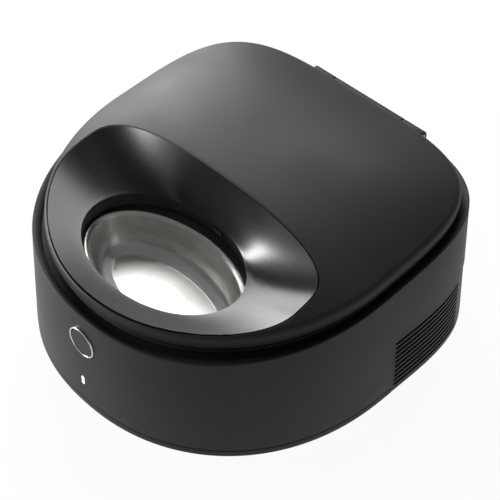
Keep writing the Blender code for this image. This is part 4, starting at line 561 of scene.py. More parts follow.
# Each finish: the record's material slot and the material
FINISHES = {
    "charcoal": ("charcoal_plastic",
                 moulded("charcoal_soft_touch", (0.020, 0.020, 0.0205), 0.50, level=0.18)),
    "gloss": ("gloss_black",
              moulded("satin_black", (0.006, 0.006, 0.0065), 0.28, grain=3600, depth=0.000006, vary=0.02)),
    "black": ("black_plastic", moulded("moulded_black", (0.008, 0.008, 0.008), 0.5, level=0.18)),
    "liner": ("liner_plastic", moulded("liner_white", (0.50, 0.51, 0.52), 0.42, grain=1500, tone=0.04)),
    "tray": ("tray_plastic", moulded("tray_grey", (0.085, 0.086, 0.09), 0.42, grain=1800, tone=0.06)),
    "steel": ("steel", plain_metal("zinc_steel", (0.50, 0.50, 0.51), 0.34)),
    "aluminium": ("aluminium", plain_metal("milled_aluminium", (0.66, 0.67, 0.68), 0.36, grain=700)),
    "chrome": ("chrome", plain_metal("dark_chrome", (0.55, 0.55, 0.56), 0.22, grain=1500, depth=0.000004)),
    "foam": ("foam", foamed("closed_cell_foam", (0.045, 0.045, 0.046))),
    "silicone": ("silicone", moulded("silicone_black", (0.018, 0.018, 0.019), 0.62, grain=1200, level=0.3)),
    "rubber": ("rubber", moulded("rubber_black", (0.016, 0.016, 0.016), 0.82, grain=900, depth=0.00006)),
    "ceramic": ("ceramic", moulded("ceramic_white", (0.82, 0.82, 0.80), 0.38, grain=1200, tone=0.03)),
    "board": ("circuit_board", board("lacquered_board", (0.02, 0.11, 0.05), (0.05, 0.20, 0.08))),
    "gear": ("gear_plastic", moulded("natural_nylon", (0.76, 0.75, 0.70), 0.42, grain=1200, tone=0.04)),
    "light": ("light_window", lit_window("milky_window")),
    "sensor": ("sensor_window",
               moulded("dark_window", (0.012, 0.008, 0.012), 0.12, grain=900, depth=0.000003, vary=0.03)),
}


# Mesh helpers

def add_mesh(name, bm):
    bmesh.ops.recalc_face_normals(bm, faces=bm.faces)
    mesh = bpy.data.meshes.new(name)
    bm.to_mesh(mesh)
    bm.free()
    return add_object(name, mesh)


def loft(name, rings, closed=False):
    """A skin over rings of equal counts, capped at both ends or closed into a tube."""
    bm = bmesh.new()
    loops = [[bm.verts.new(point) for point in ring] for ring in rings]
    following = loops[1:] + loops[:1] if closed else loops[1:]
    for one, two in zip(loops, following):
        for k in range(len(one)):
            after = (k + 1) % len(one)
            bm.faces.new((one[k], one[after], two[after], two[k]))
    if not closed:
        bm.faces.new(loops[0])
        bm.faces.new(loops[-1])
    return add_mesh(name, bm)


def skin(name, rings, radii, closed=False, steps=4):
    """A loft whose corners between rings are rounded, each by its own radius."""
    return loft(name, soften(rings, radii, closed, steps), closed)


def corner_arc(before, corner, after, radius, steps):
    """Points of a round of that radius in place of a corner."""
    one, two = before - corner, after - corner
    half = one.angle(two) / 2
    back = min(radius / math.tan(half), ROUND_LIMIT * one.length, ROUND_LIMIT * two.length)
    start, end = corner + one.normalized() * back, corner + two.normalized() * back
    weight = math.sin(half)
    points = []
    for k in range(steps + 1):
        s = k / steps
        parts = ((1 - s) ** 2, 2 * weight * s * (1 - s), s * s)
        points.append((start * parts[0] + corner * parts[1] + end * parts[2]) / sum(parts))
    return points


def soften(rings, radii, closed=False, steps=4):
    """Rounds the corners between rings, each by its own radius."""
    made = []
    last = len(rings) - 1
    for i, (ring, radius) in enumerate(zip(rings, radii)):
        if not radius or (not closed and i in (0, last)):
            made.append(ring)
            continue
        before, after = rings[i - 1], rings[(i + 1) % (last + 1)]
        arcs = [corner_arc(a, p, b, radius, steps) for a, p, b in zip(before, ring, after)]
        made += [list(points) for points in zip(*arcs)]
    return made


def box(name, low, high, round_edges=0.0):
    bm = bmesh.new()
    low, high = Vector(low), Vector(high)
    size = Matrix.Diagonal((*(high - low), 1.0))
    bmesh.ops.create_cube(bm, size=1.0, matrix=Matrix.Translation((low + high) / 2) @ size)
    if round_edges:
        bmesh.ops.bevel(bm, geom=bm.edges[:], offset=round_edges, segments=4, profile=0.5, affect="EDGES")
    return add_mesh(name, bm)


def cylinder(name, start, end, radius, segments=96):
    bm = bmesh.new()
    start, end = Vector(start), Vector(end)
    turn = Vector((0, 0, 1)).rotation_difference(end - start).to_matrix().to_4x4()
    bmesh.ops.create_cone(bm, cap_ends=True, segments=segments, radius1=radius, radius2=radius,
                          depth=(end - start).length, matrix=Matrix.Translation((start + end) / 2) @ turn)
    return add_mesh(name, bm)


def upright(name, x, y, low, high, radius, segments=96):
    return cylinder(name, (x, y, low), (x, y, high), radius, segments)


def turns(count):
    return [2 * math.pi * k / count for k in range(count)]


def arc(across, up, radius, angles):
    return [(across + radius * math.cos(angle), up + radius * math.sin(angle)) for angle in angles]


def section(x, points):
    return [Vector((x, y, z)) for y, z in points]


def carve(item, others, operation="DIFFERENCE"):
    """Changes a piece by others, which are then removed."""
    for other in others:
        change = item.modifiers.new(other.name, "BOOLEAN")
        change.operation = operation
        change.object = other
        change.solver = "EXACT"
    seen = item.evaluated_get(bpy.context.evaluated_depsgraph_get())
    mesh = bpy.data.meshes.new_from_object(seen)
    mesh.name = item.name
    item.modifiers.clear()
    item.data = mesh
    for other in others:
        bpy.data.objects.remove(other, do_unlink=True)
    return item


def dress(item, finish, body, *nodes, sharp=35.0, made=None):
    """Gives a piece its finish and its body, and hides the nodes that it stands for."""
    slot, material = FINISHES[finish] if made is None else (finish, made)
    mesh = item.data
    mesh.materials.clear()
    mesh.materials.append(material)
    mesh.shade_smooth()
    mesh.set_sharp_from_angle(angle=math.radians(sharp))
    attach(item, body)
    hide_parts(*nodes)


# Outlines

def half_of(outline, rise):
    """An outline's depth and power behind its centre, or in front of it."""
    return (outline.rear, outline.rear_power) if rise > 0 else (outline.front, outline.front_power)


def plan_angles():
    """Directions from the axis that bunch up where the body's outline turns."""
    found = []
    for turn in turns(PLAN_POINTS):
        c, s = math.cos(turn), math.sin(turn)
        depth, power = half_of(BODY, s)
        x = math.copysign(abs(c) ** (2 / power), c) * BODY.half_width
        y = math.copysign(abs(s) ** (2 / power), s) * depth
        found.append(math.atan2(y, x))
    return found


ANGLES = plan_angles()


def reach(outline, inset, angle):
    """Distance from an outline's centre to its edge in one direction."""
    c, s = math.cos(angle), math.sin(angle)
    depth, power = half_of(outline, s)
    across = abs(c) / (outline.half_width - inset)
    along = abs(s) / (depth - inset)
    return (across ** power + along ** power) ** (-1 / power)


def round_ring(angles, distances, level, slope=0.0, x=0.0, y=AXIS_Y):
    points = []
    for angle, distance in zip(angles, distances):
        place = y + distance * math.sin(angle)
        points.append(Vector((x + distance * math.cos(angle), place, level + slope * place)))
    return points


def plan(outline, inset, level, slope=0.0):
    return round_ring(ANGLES, [reach(outline, inset, angle) for angle in ANGLES], level, slope)


def plans(outline, slope, *rows):
    """Rings of an outline at (inset, level) rows."""
    return [plan(outline, inset, level, slope) for inset, level in rows]


def circle(radius, level, slope=0.0, count=192, x=0.0, y=AXIS_Y):
    return round_ring(turns(count), [radius] * count, level, slope, x, y)


def spun(name, profile, radii, x=0.0, y=AXIS_Y, count=96, closed=False, steps=4):
    """Rings about a vertical axis from (radius, level) points, with their corners rounded."""
    rings = [circle(radius, level, count=count, x=x, y=y) for radius, level in profile]
    return skin(name, rings, radii, closed, steps)


def far_from_hole(outline, centre_y, inset, angle):
    """Distance from the hole's middle to an outline in one direction, found by halving."""
    near, far = 0.0, SEARCH_LIMIT
    c, s = math.cos(angle), math.sin(angle)
    for _ in range(SEARCH_STEPS):
        middle = (near + far) / 2
        dx, dy = middle * c, HOLE_Y + middle * s - centre_y
        if math.hypot(dx, dy) < reach(outline, inset, math.atan2(dy, dx)):
            near = middle
        else:
            far = middle
    return near


def lid_reach(inset, angle):
    return far_from_hole(LID, AXIS_Y, inset, angle)


def scoop_reach(angle):
    """The scoop's edge keeps inside its own outline and the lid's, and turns softly between them."""
    own, lid = far_from_hole(SCOOP, SCOOP_Y, 0, angle), lid_reach(SCOOP_LID_MARGIN, angle)
    return (own + lid - math.hypot(own - lid, SCOOP_CORNER)) / 2


def from_hole(distance, angle, level=0.0):
    return Vector((distance * math.cos(angle), HOLE_Y + distance * math.sin(angle), level))


def even_angles(count):
    """Directions from the hole's middle, shared out along the edges of the lid and of the scoop."""
    by_lid, by_scoop, by_turn = EDGE_WEIGHTS
    angles = [2 * math.pi * k / EDGE_TRIES for k in range(EDGE_TRIES + 1)]
    lid = [from_hole(lid_reach(0, a), a) for a in angles]
    scoop = [from_hole(scoop_reach(a), a) for a in angles]
    total = [0.0]
    for k in range(EDGE_TRIES):
        step = (lid[k + 1] - lid[k]).length / by_lid + (scoop[k + 1] - scoop[k]).length / by_scoop
        total.append(total[-1] + (step + by_turn / EDGE_TRIES))
    found, k = [], 0
    for n in range(count):
        target = total[-1] * n / count
        while total[k + 1] < target:
            k += 1
        share = (target - total[k]) / (total[k + 1] - total[k])
        found.append(angles[k] + share * (angles[k + 1] - angles[k]))
    return found


HOLE_ANGLES = even_angles(320)
SCOOP_REACHES = [scoop_reach(angle) for angle in HOLE_ANGLES]


def hole_reach(angle, spare=0.0):
    across = math.cos(angle) / (HOLE_LENGTH + spare)
    along = math.sin(angle) / (HOLE_WIDTH + spare)
    return 1 / math.hypot(across, along)


def hole_rings(*rows):
    """Rings round the serving hole at (spare, level) rows."""
    return [[from_hole(hole_reach(angle, spare), angle, level) for angle in HOLE_ANGLES]
            for spare, level in rows]


def dome_height(x, y):
    dx, dy = x, y - AXIS_Y
    share = math.hypot(dx, dy) / reach(LID, 0, math.atan2(dy, dx))
    return LID_LOW + LID_EDGE + LID_SLOPE * y + LID_DOME * (1 - share ** LID_DOME_POWER)


def body_front(height):
    top = RIM_LEVEL - RIM_ROUND + RIM_SLOPE * (AXIS_Y - BODY.front)
    share = (height - SHELL_BOTTOM) / (top - SHELL_BOTTOM)
    return AXIS_Y - BODY.front - DRAFT * (1 - share)


def boss_places():
    places = {}
    for name, degrees in BOSS_ANGLES.items():
        angle = math.radians(degrees)
        out = reach(BODY, BOSS_INSET, angle)
        for word, side in SIDES.items():
            places[f"{name}_{word}"] = (side * out * math.cos(angle), AXIS_Y + out * math.sin(angle))
    return places


BOSSES = boss_places()


# Body

def hinge_notch(name):
    half = HINGE_HALF_LENGTH + GAP
    return box(name, (-half, NOTCH_FRONT_Y, NOTCH_FLOOR), (half, REAR_FACE + OVER, HINGE_Z + OVER * 2))


def vent_window(name, side, spare):
    front, top, radius = VENT_FRONT_Y - spare, VENT_TOP + spare, VENT_CORNER + spare
    rear = REAR_FACE + DRAFT + OVER
    bend = arc(front + radius, top - radius, radius, [math.pi / 2 * (1 + k / 16) for k in range(17)])
    points = [(rear, -OVER), (rear, top), *bend, (front, -OVER)]
    near, far = side * (VENT_INNER_X - spare), side * (BODY.half_width + DRAFT + OVER)
    return loft(name, [section(near, points), section(far, points)])


def wall_loft(name, outer, inner, bottom):
    """The body's wall between two insets: upright below the seam, slanted from there to the rim."""
    top = RIM_LEVEL - RIM_ROUND
    rings = [plan(BODY, outer - DRAFT, bottom), plan(BODY, outer - DRAFT, SHELL_BOTTOM),
             plan(BODY, outer, top, RIM_SLOPE), plan(BODY, inner, top, RIM_SLOPE),
             plan(BODY, inner - DRAFT, SHELL_BOTTOM), plan(BODY, inner - DRAFT, bottom)]
    return loft(name, rings, closed=True)


def light_outline(spare, y):
    """The light window's outline, with round corners, at one depth."""
    half, height = LIGHT_WIDTH / 2 + spare, LIGHT_HEIGHT / 2 + spare
    points = []
    for k in range(4):
        x = (half - LIGHT_CORNER) * (1 if k in (0, 3) else -1)
        z = (height - LIGHT_CORNER) * (1 if k in (0, 1) else -1)
        points += arc(x, LIGHT_Z + z, LIGHT_CORNER, [math.pi / 2 * (k + step / 6) for step in range(7)])
    return [Vector((x, y, z)) for x, z in points]


def rim_rings():
    """The wall's top outer edge and the lip that rolls inward and down from it."""
    rows = []
    for step in range(5):
        turn = math.pi / 2 * step / 4
        rows.append((RIM_ROUND * (1 - math.cos(turn)), RIM_LEVEL - RIM_ROUND * (1 - math.sin(turn))))
    for step in range(1, 11):
        share = step / 10
        rows.append((RIM_ROUND + (LIP_WIDTH - RIM_ROUND) * share, RIM_LEVEL - LIP_FALL * share ** LIP_POWER))
    return plans(BODY, RIM_SLOPE, *rows)


def outer_shell():
    lip = RIM_LEVEL - LIP_FALL
    rings = [plan(BODY, -DRAFT, SHELL_BOTTOM), *rim_rings(),
             *plans(BODY, RIM_SLOPE, (LIP_WIDTH, lip - LIP_DEPTH), (WALL, lip - LIP_DEPTH - LIP_CHAMFER)),
             plan(BODY, WALL - DRAFT, SHELL_BOTTOM)]
    radii = [SHELL_ROUND] + [0] * (len(rings) - 1)
    shell = skin("shell_skin", rings, radii, True, 6)
    low = BAND_TOP + TONGUE_RISE + GAP
    added = [upright("boss_" + name, x, y, low, low + BOSS_HEIGHT, BOSS_RADIUS, 32)
             for name, (x, y) in BOSSES.items()]
    ledge = NOTCH_FLOOR - LEDGE_HEIGHT
    added.append(box("ledge", (-HINGE_HALF_LENGTH, LEDGE_FRONT_Y, ledge),
                     (HINGE_HALF_LENGTH, REAR_FACE - WALL / 2, NOTCH_FLOOR)))
    carve(shell, added, "UNION")
    face, front = body_front(BUTTON_Z), body_front(LIGHT_Z)
    cuts = [hinge_notch("shell_notch")]
    cuts += [vent_window("vent_" + name, side, GAP) for name, side in SIDES.items()]
    cuts += [upright("pilot_" + name, x, y, SHELL_BOTTOM, PILOT_TOP, SCREW_HOLE, 24)
             for name, (x, y) in BOSSES.items()]
    cuts += [upright(f"ledge_hole_{side}", side * HINGE_SCREW_X, HINGE_SCREW_Y, ledge + GAP,
                     NOTCH_FLOOR + OVER, SCREW_HOLE, 24) for side in (-1, 1)]
    cuts.append(cylinder("button_hole", (0, face - OVER, BUTTON_Z), (0, face + WALL + OVER, BUTTON_Z),
                         RING_OUTER + GAP / 2, 128))
    cuts.append(loft("light_slot", [light_outline(GAP / 3, front - OVER),
                                    light_outline(GAP / 3, front + WALL + OVER)]))
    cuts.append(along_jack("jack_hole", JACK_REAR_Y - OVER, JACK_END_Y + OVER, JACK_BARREL + GAP))
    carve(shell, cuts)
    dress(shell, "charcoal", "base", "outer_shell")


def cover_posts():
    """Posts and ribs on the bottom cover that carry the spindle, motor, boards and socket."""
    low = FLOOR_TOP - GAP
    posts = [upright("spindle_boss", 0, AXIS_Y, low, SPINDLE_BOSS_TOP, SPINDLE_BOSS_RADIUS, 48)]
    near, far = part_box("gear_motor")
    x, y = (near[0] + far[0]) / 2, (near[1] + far[1]) / 2
    for side in (-1, 1):
        step = side * MOTOR_POST_OUT * math.sqrt(0.5)
        posts.append(upright(f"motor_post_{side}", x + step, y - step, low, MOTOR_POST_TOP,
                             MOTOR_POST_RADIUS, 32))
    near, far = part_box("main_board")
    for k, x in enumerate((near[0] + BOARD_POST_INSET, far[0] - BOARD_POST_INSET)):
        for n, y in enumerate((near[1] + BOARD_POST_INSET, far[1] - BOARD_POST_INSET)):
            posts.append(upright(f"board_post_{k}{n}", x, y, low, near[2] - GAP, BOARD_POST_RADIUS, 32))
    near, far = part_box("front_board")
    rear, half = far[1] + BOARD_RIB_CLEARANCE, BOARD_RIB_LENGTH / 2
    for k, y in enumerate((near[1] - BOARD_RIB_CLEARANCE - BOARD_RIB_THICKNESS, rear)):
        posts.append(box(f"board_rib_{k}", (-half, y, low),
                         (half, y + BOARD_RIB_THICKNESS, low + BOARD_RIB_HEIGHT)))
    y, half = (JACK_FRONT_Y + JACK_REAR_Y) / 2, JACK_POST_HALF
    posts.append(box("jack_post", (JACK_X - half, y - half, low),
                     (JACK_X + half, y + half, JACK_Z - JACK_HALF - GAP)))
    return posts


def bottom_cover():
    inner, top = TONGUE_INSET + TONGUE_WIDTH, BAND_TOP + TONGUE_RISE
    rings = plans(BODY, 0, (COVER_MIDDLE, FOOT_LIFT), (-DRAFT, FOOT_LIFT), (-DRAFT, BAND_TOP),
                  (TONGUE_INSET, BAND_TOP), (TONGUE_INSET, top), (inner, top), (inner, FLOOR_TOP))
    cover = skin("cover_skin", rings, COVER_ROUNDS, False, 5)
    carve(cover, cover_posts(), "UNION")
    cuts = [upright("foot_pocket_" + name, x, y, FOOT_LIFT - OVER, FOOT_LIFT + FOOT_POCKET,
                    FOOT_RADIUS + GAP, 64) for name, (x, y) in FEET.items()]
    for name, (x, y) in BOSSES.items():
        cuts.append(upright("hole_" + name, x, y, 0, top + OVER, SCREW_HOLE, 32))
        cuts.append(upright("recess_" + name, x, y, 0, FOOT_LIFT + SCREW_RECESS, SCREW_HEAD + GAP, 48))
    for k in range(INTAKE_COUNT):
        cuts.append(rounded_slot(f"intake_{k}", COOLER_Y + (k - (INTAKE_COUNT - 1) / 2) * INTAKE_PITCH))
    for name, side in SIDES.items():
        pocket = wall_loft("cover_pocket_" + name, -OVER, WALL + GAP, FOOT_LIFT - OVER)
        cuts.append(carve(pocket, [vent_window("cover_window_" + name, side, GAP)], "INTERSECT"))
    cuts.append(upright("spindle_socket", 0, AXIS_Y, SPINDLE_BORE_BOTTOM, SPINDLE_BOSS_TOP + OVER,
                        SPINDLE_BORE, 48))
    carve(cover, cuts)
    dress(cover, "charcoal", "base", "bottom_cover")


def rounded_slot(name, y):
    """A slot with round ends through the bottom."""
    half, radius = INTAKE_LENGTH / 2 - INTAKE_WIDTH / 2, INTAKE_WIDTH / 2
    points = []
    for side in (1, -1):
        points += arc(side * half, y, radius, [math.pi * (k / 8 - side / 2) for k in range(9)])
    return loft(name, [[Vector((*point, z)) for point in points]
                       for z in (FOOT_LIFT - OVER, FLOOR_TOP + OVER)])


def vent_grilles():
    for name, side in SIDES.items():
        grille = wall_loft("grille_skin_" + name, VENT_RECESS, WALL, VENT_BOTTOM)
        carve(grille, [vent_window("grille_shape", side, 0)], "INTERSECT")
        ends = sorted((side * SLOT_INNER_X, side * (BODY.half_width + DRAFT + OVER)))
        slots = []
        for k in range(SLOT_COUNT):
            low = SLOT_LOWEST + k * SLOT_PITCH
            slots.append(box(f"slot_{k}", (ends[0], SLOT_FRONT_Y, low),
                             (ends[1], SLOT_REAR_Y, low + SLOT_HEIGHT)))
        carve(grille, slots)
        dress(grille, "black", "base", "vent_grille_" + name)


def feet_and_screws():
    for name, (x, y) in FEET.items():
        top = FOOT_LIFT + FOOT_POCKET - GAP
        profile = [(PINHOLE, top), (FOOT_RADIUS, top), (FOOT_RADIUS, 0), (FOOT_RING, 0),
                   (FOOT_DISH_RADIUS, FOOT_DISH), (PINHOLE, FOOT_DISH)]
        foot = spun("foot_skin_" + name, profile, FOOT_ROUNDS, x, y, 64)
        dress(foot, "rubber", "base", "foot_" + name)
    head = FOOT_LIFT + SCREW_RECESS - GAP
    for name, (x, y) in BOSSES.items():
        profile = [(PINHOLE, SCREW_END), (SCREW_SHANK, SCREW_END), (SCREW_SHANK, head), (SCREW_HEAD, head),
                   (SCREW_HEAD, head - SCREW_HEAD_DEPTH), (PINHOLE, head - SCREW_HEAD_DEPTH)]
        screw = spun("screw_skin_" + name, profile, SCREW_ROUNDS, x, y, 40)
        long, short = CROSS_LENGTH / 2, CROSS_WIDTH / 2
        carve(screw, [box(word, (x - dx, y - dy, 0), (x + dx, y + dy, head - CROSS_DEPTH))
                      for word, dx, dy in (("cross_a", long, short), ("cross_b", short, long))])
        dress(screw, "steel", "base", "base_screw_" + name)


def top_deck():
    inset = LIP_WIDTH + GAP
    low = DECK_LEVEL - DECK_THICKNESS
    inner = [round_ring(ANGLES, [DECK_OPENING] * PLAN_POINTS, level, RIM_SLOPE)
             for level in (DECK_LEVEL, low)]
    outer = plans(BODY, RIM_SLOPE, (inset, low), (inset, DECK_LEVEL))
    deck = skin("deck_skin", outer + inner, DECK_ROUNDS, True)
    relief = loft("deck_relief", hole_rings((DECK_RELIEF, LINER_BOTTOM), (DECK_RELIEF, HINGE_Z)))
    top = DECK_LEVEL + RIM_SLOPE * (MAGNET_Y - MAGNET_RADIUS)
    pockets = [upright(f"magnet_pocket_{side}", side * MAGNET_X, MAGNET_Y, top - DECK_MAGNET_HEIGHT - GAP,
                       top + OVER, MAGNET_RADIUS + GAP, 48) for side in (-1, 1)]
    carve(deck, [hinge_notch("deck_notch"), relief, *pockets])
    dress(deck, "black", "base", "top_deck")


def chamber_liner():
    top = DECK_LEVEL - DECK_THICKNESS - GAP
    inner = LINER_RADIUS - LINER_WALL
    rings = [
        circle(LINER_MIDDLE, LINER_BOTTOM), circle(LINER_RADIUS, LINER_BOTTOM),
        circle(LINER_RADIUS, top, RIM_SLOPE), circle(inner, top, RIM_SLOPE),
        circle(inner, LINER_FLOOR), circle(LINER_MIDDLE, LINER_FLOOR),
    ]
    liner = skin("liner_skin", rings, LINER_ROUNDS, False, 6)
    half_x, half_y = COLD_PLATE[0] / 2 + GAP, COLD_PLATE[1] / 2 + GAP
    window = box("liner_window", (-half_x, COOLER_Y - half_y, LINER_BOTTOM - OVER),
                 (half_x, COOLER_Y + half_y, LINER_FLOOR + OVER))
    hole = upright("liner_hole", 0, AXIS_Y, LINER_BOTTOM - OVER, LINER_FLOOR + OVER,
                   BEARING_RADIUS + GAP, 64)
    carve(liner, [window, hole])
    dress(liner, "liner", "base", "chamber_liner")


# Tray and bowls

def tray_turn(place):
    about = Matrix.Translation((0, AXIS_Y, 0))
    return about @ Matrix.Rotation(2 * math.pi * place / TRAY_PLACES, 4, "Z") @ about.inverted()


def oval(inset, level):
    length, width = BOWL_LENGTH - inset, BOWL_WIDTH - inset
    return [Vector((length * math.cos(a), HOLE_Y + width * math.sin(a), level)) for a in turns(BOWL_POINTS)]


def food_tray():
    bottom = LINER_FLOOR + GAP * 3 + BEARING_FLANGE + TURNTABLE_THICKNESS
    under = TRAY_TOP - TRAY_THICKNESS
    inner = TRAY_RADIUS - TRAY_SKIRT_WALL
    profile = [(PINHOLE, TRAY_TOP), (TRAY_RADIUS, TRAY_TOP), (TRAY_RADIUS, TRAY_SKIRT_BOTTOM),
               (inner, TRAY_SKIRT_BOTTOM), (inner, under), (TRAY_COLUMN, under), (TRAY_COLUMN, bottom),
               (PINHOLE, bottom)]
    tray = spun("tray_skin", profile, TRAY_ROUNDS, count=192)
    added = []
    start = AXIS_Y - TRAY_RADIUS + TRAY_SKIRT_WALL / 2
    for k in range(TRAY_PLACES):
        rib = box(f"rib_{k}", (-TRAY_RIB / 2, start, TRAY_SKIRT_BOTTOM + GAP),
                  (TRAY_RIB / 2, AXIS_Y - TRAY_COLUMN / 2, under + GAP))
        rib.data.transform(tray_turn(k + 1 / 2))
        added.append(rib)
    top = SEAL_BOTTOM - BLANK_BELOW_SEAL
    rings = [oval(BLANK_MARGIN, TRAY_TOP - GAP), oval(BLANK_MARGIN, top),
             oval(BOWL_WIDTH * BLANK_MIDDLE, top)]
    blank = skin("blank", rings, (0, BLANK_ROUND, 0), False, 5)
    blank.data.transform(tray_turn(BLANK_PLACE))
    carve(tray, [*added, blank], "UNION")
    cuts = []
    for place in range(BLANK_PLACE):
        inset = BOWL_FLANGE - GAP
        opening = loft(f"opening_{place}", [oval(inset, TRAY_SKIRT_BOTTOM), oval(inset, TRAY_TOP + OVER)])
        opening.data.transform(tray_turn(place))
        cuts.append(opening)
    clear = HUB_RADIUS + GAP / math.cos(math.pi / HUB_SIDES)
    cuts.append(upright("socket", 0, AXIS_Y, bottom - OVER, HUB_TOP + GAP, clear, HUB_SIDES))
    carve(tray, cuts)
    dress(tray, "tray", "tray", "food_tray")


def bowl_rings():
    """Rings of one bowl at the serving place, from the inner floor over the rim to the outer floor."""
    outer = [(share * BOWL_WIDTH + BOWL_FLANGE * BOWL_WALL_START, BOWL_RIM_TOP - drop * BOWL_DEPTH)
             for share, drop in BOWL_WALL_SHARES]
    inner = [(inset + BOWL_SHEET, level + BOWL_SHEET * (drop > BOWL_FLOOR_DROP))
             for (inset, level), (share, drop) in zip(outer, BOWL_WALL_SHARES)]
    under, crown = TRAY_TOP + GAP, BOWL_RIM_TOP - BOWL_SHEET / 2
    rows = [(BOWL_WIDTH * BOWL_MIDDLE, inner[-1][1] + PINHOLE), *reversed(inner),
            (BOWL_FLANGE * BOWL_CREST[0], crown), (BOWL_FLANGE * BOWL_CREST[1], BOWL_RIM_TOP), (0, crown),
            (0, under), (BOWL_FLANGE, under), *outer, (BOWL_WIDTH * BOWL_MIDDLE, outer[-1][1])]
    return soften([oval(inset, level) for inset, level in rows], BOWL_ROUNDS, False, 8)


def bowls():
    for place in range(BLANK_PLACE):
        turn = tray_turn(place)
        number = place + 1
        centre = turn @ Vector((0, HOLE_Y, BOWL_RIM_TOP))
        steel = brushed(f"spun_steel_{number}", *SPUN_STEEL, centre, 2 * math.pi * place / TRAY_PLACES,
                        BOWL_LENGTH / BOWL_WIDTH)
        bowl = loft(f"bowl_skin_{number}", bowl_rings())
        bowl.data.transform(turn)
        dress(bowl, "stainless_steel", "tray", f"bowl_{number}", made=steel)


def lift_knob():
    low = TRAY_TOP + GAP
    high = low + KNOB_HEIGHT
    dish, crest = (KNOB_RADIUS * share for share in KNOB_DISH_SHARES)
    profile = [(PINHOLE, high - KNOB_DISH), (dish, high - KNOB_DISH), (crest, high), (KNOB_RADIUS, high),
               (KNOB_RADIUS, high - KNOB_EDGE), (KNOB_WAIST, high - KNOB_THROAT), (KNOB_WAIST, low),
               (PINHOLE, low)]
    knob = spun("knob_skin", profile, KNOB_ROUNDS, steps=5)
    dress(knob, "tray", "tray", "tray_lift_knob")


def turntable():
    low = LINER_FLOOR + GAP * 2 + BEARING_FLANGE
    high = low + TURNTABLE_THICKNESS
    profile = [(SPINDLE_BORE, low), (TURNTABLE_RADIUS, low), (TURNTABLE_RADIUS, high), (SPINDLE_BORE, high)]
    table = spun("turntable_skin", profile, TURNTABLE_ROUNDS, count=128, closed=True)
    carve(table, [upright("hub", 0, AXIS_Y, low + GAP, HUB_TOP, HUB_RADIUS, HUB_SIDES)], "UNION")
    carve(table, [upright("table_socket", 0, AXIS_Y, low - OVER, HUB_BORE_TOP, SPINDLE_BORE, 64)])
    dress(table, "tray", "tray", "turntable")


# Lid

def lid_column(angle, far):
    """One strip of the lid: from the scoop's edge over the dome and its edge, and back inside."""
    bend = LID_EDGE_ROUND
    edge = lid_reach(0, angle)
    lean = (edge - lid_reach(bend, angle)) / bend

    def on_top(distance, drop):
        point = from_hole(distance, angle)
        point.z = dome_height(point.x, point.y) - drop
        return point

    def on_side(inset, level):
        point = from_hole(edge - lean * inset, angle)
        point.z = level + LID_SLOPE * point.y
        return point

    start = far + MOUTH
    inset = (edge - start) / lean
    turned = 0.0 if inset >= bend else math.asin(1 - inset / bend)
    flat = max(0.0, edge - lean * bend - start)
    total = flat + bend * (math.pi / 2 - turned)
    last = min(bend * math.pi / 2, total / 2)
    begin = bend * (1 - math.cos(turned))
    points = []
    for step in range(4):
        turn = math.pi / 2 * step / 3
        points.append(on_top(far + MOUTH * (1 - math.cos(turn)), begin + MOUTH * (1 - math.sin(turn))))
    ways = [(total - last) * step / FLAT_STEPS for step in range(1, FLAT_STEPS + 1)]
    ways += [total - last + last * step / EDGE_STEPS for step in range(1, EDGE_STEPS + 1)]
    for way in ways:
        if way <= flat:
            points.append(on_top(start + way, 0))
        else:
            turn = turned + (way - flat) / bend
            points.append(on_top(edge - lean * bend * (1 - math.sin(turn)), bend * (1 - math.cos(turn))))
    for step in range(5):
        turn = math.pi / 2 * step / 4
        points.append(on_side(LID_LIP * (1 - math.cos(turn)), LID_LOW + LID_LIP * (1 - math.sin(turn))))
    inside = min(LID_WALL, (edge - far - MOUTH) / lean)
    points += [on_side(inside, LID_LOW), on_side(inside, LID_LOW + LID_EDGE - bend)]
    inner = edge - lean * inside
    for share in LID_UNDER_SHARES:
        points.append(on_top(far + (inner - far) * share, LID_WALL))
    return points


def lid_shell():
    """The domed lid round the scoop."""
    columns = [lid_column(angle, far) for angle, far in zip(HOLE_ANGLES, SCOOP_REACHES)]
    shell = loft("lid_skin", list(zip(*columns)), closed=True)
    dress(shell, "charcoal", "lid", "lid_shell", sharp=50)


def scoop_point(angle, far, share, sheet):
    outer, inner = far - SCOOP_GAP, hole_reach(angle)
    span = outer - inner
    edge = from_hole(outer, angle)
    fall = dome_height(edge.x, edge.y) - HOLE_LEVEL
    lean = math.atan(SCOOP_CURVE_POWER * fall * (1 - share) ** (SCOOP_CURVE_POWER - 1) / span)
    distance = outer - share * span + sheet * math.sin(lean)
    level = HOLE_LEVEL + fall * (1 - share) ** SCOOP_CURVE_POWER - sheet * math.cos(lean)
    return from_hole(distance, angle, level)


def scoop_ring(share, sheet):
    return [scoop_point(angle, far, share, sheet) for angle, far in zip(HOLE_ANGLES, SCOOP_REACHES)]


def scoop_insert():
    """The scoop with its collar, one sheet round the serving hole."""
    top = [scoop_ring((step / SCOOP_STEPS) ** SCOOP_STEP_POWER, 0) for step in range(SCOOP_STEPS + 1)]
    edge = [point - Vector((0, 0, SCOOP_EDGE)) for point in top[0]]
    under = [scoop_ring(share, SCOOP_SHEET) for share in SCOOP_UNDER_SHARES]
    lip = HOLE_LEVEL - COLLAR_LIP
    collar = hole_rings((0, lip), (COLLAR_RELIEF, lip), (COLLAR_RELIEF, COLLAR_BOTTOM),
                        (COLLAR_OUTER, COLLAR_BOTTOM), (COLLAR_OUTER, HOLE_LEVEL - SCOOP_SHEET))
    rings = [*top, *collar, *under, edge]
    radii = [SCOOP_EDGE_ROUND, *[0] * (SCOOP_STEPS - 1), *COLLAR_ROUNDS, *[0] * 7]
    scoop = skin("scoop_skin", rings, radii, True, 5)
    dress(scoop, "gloss", "lid", "scoop_insert", sharp=50)


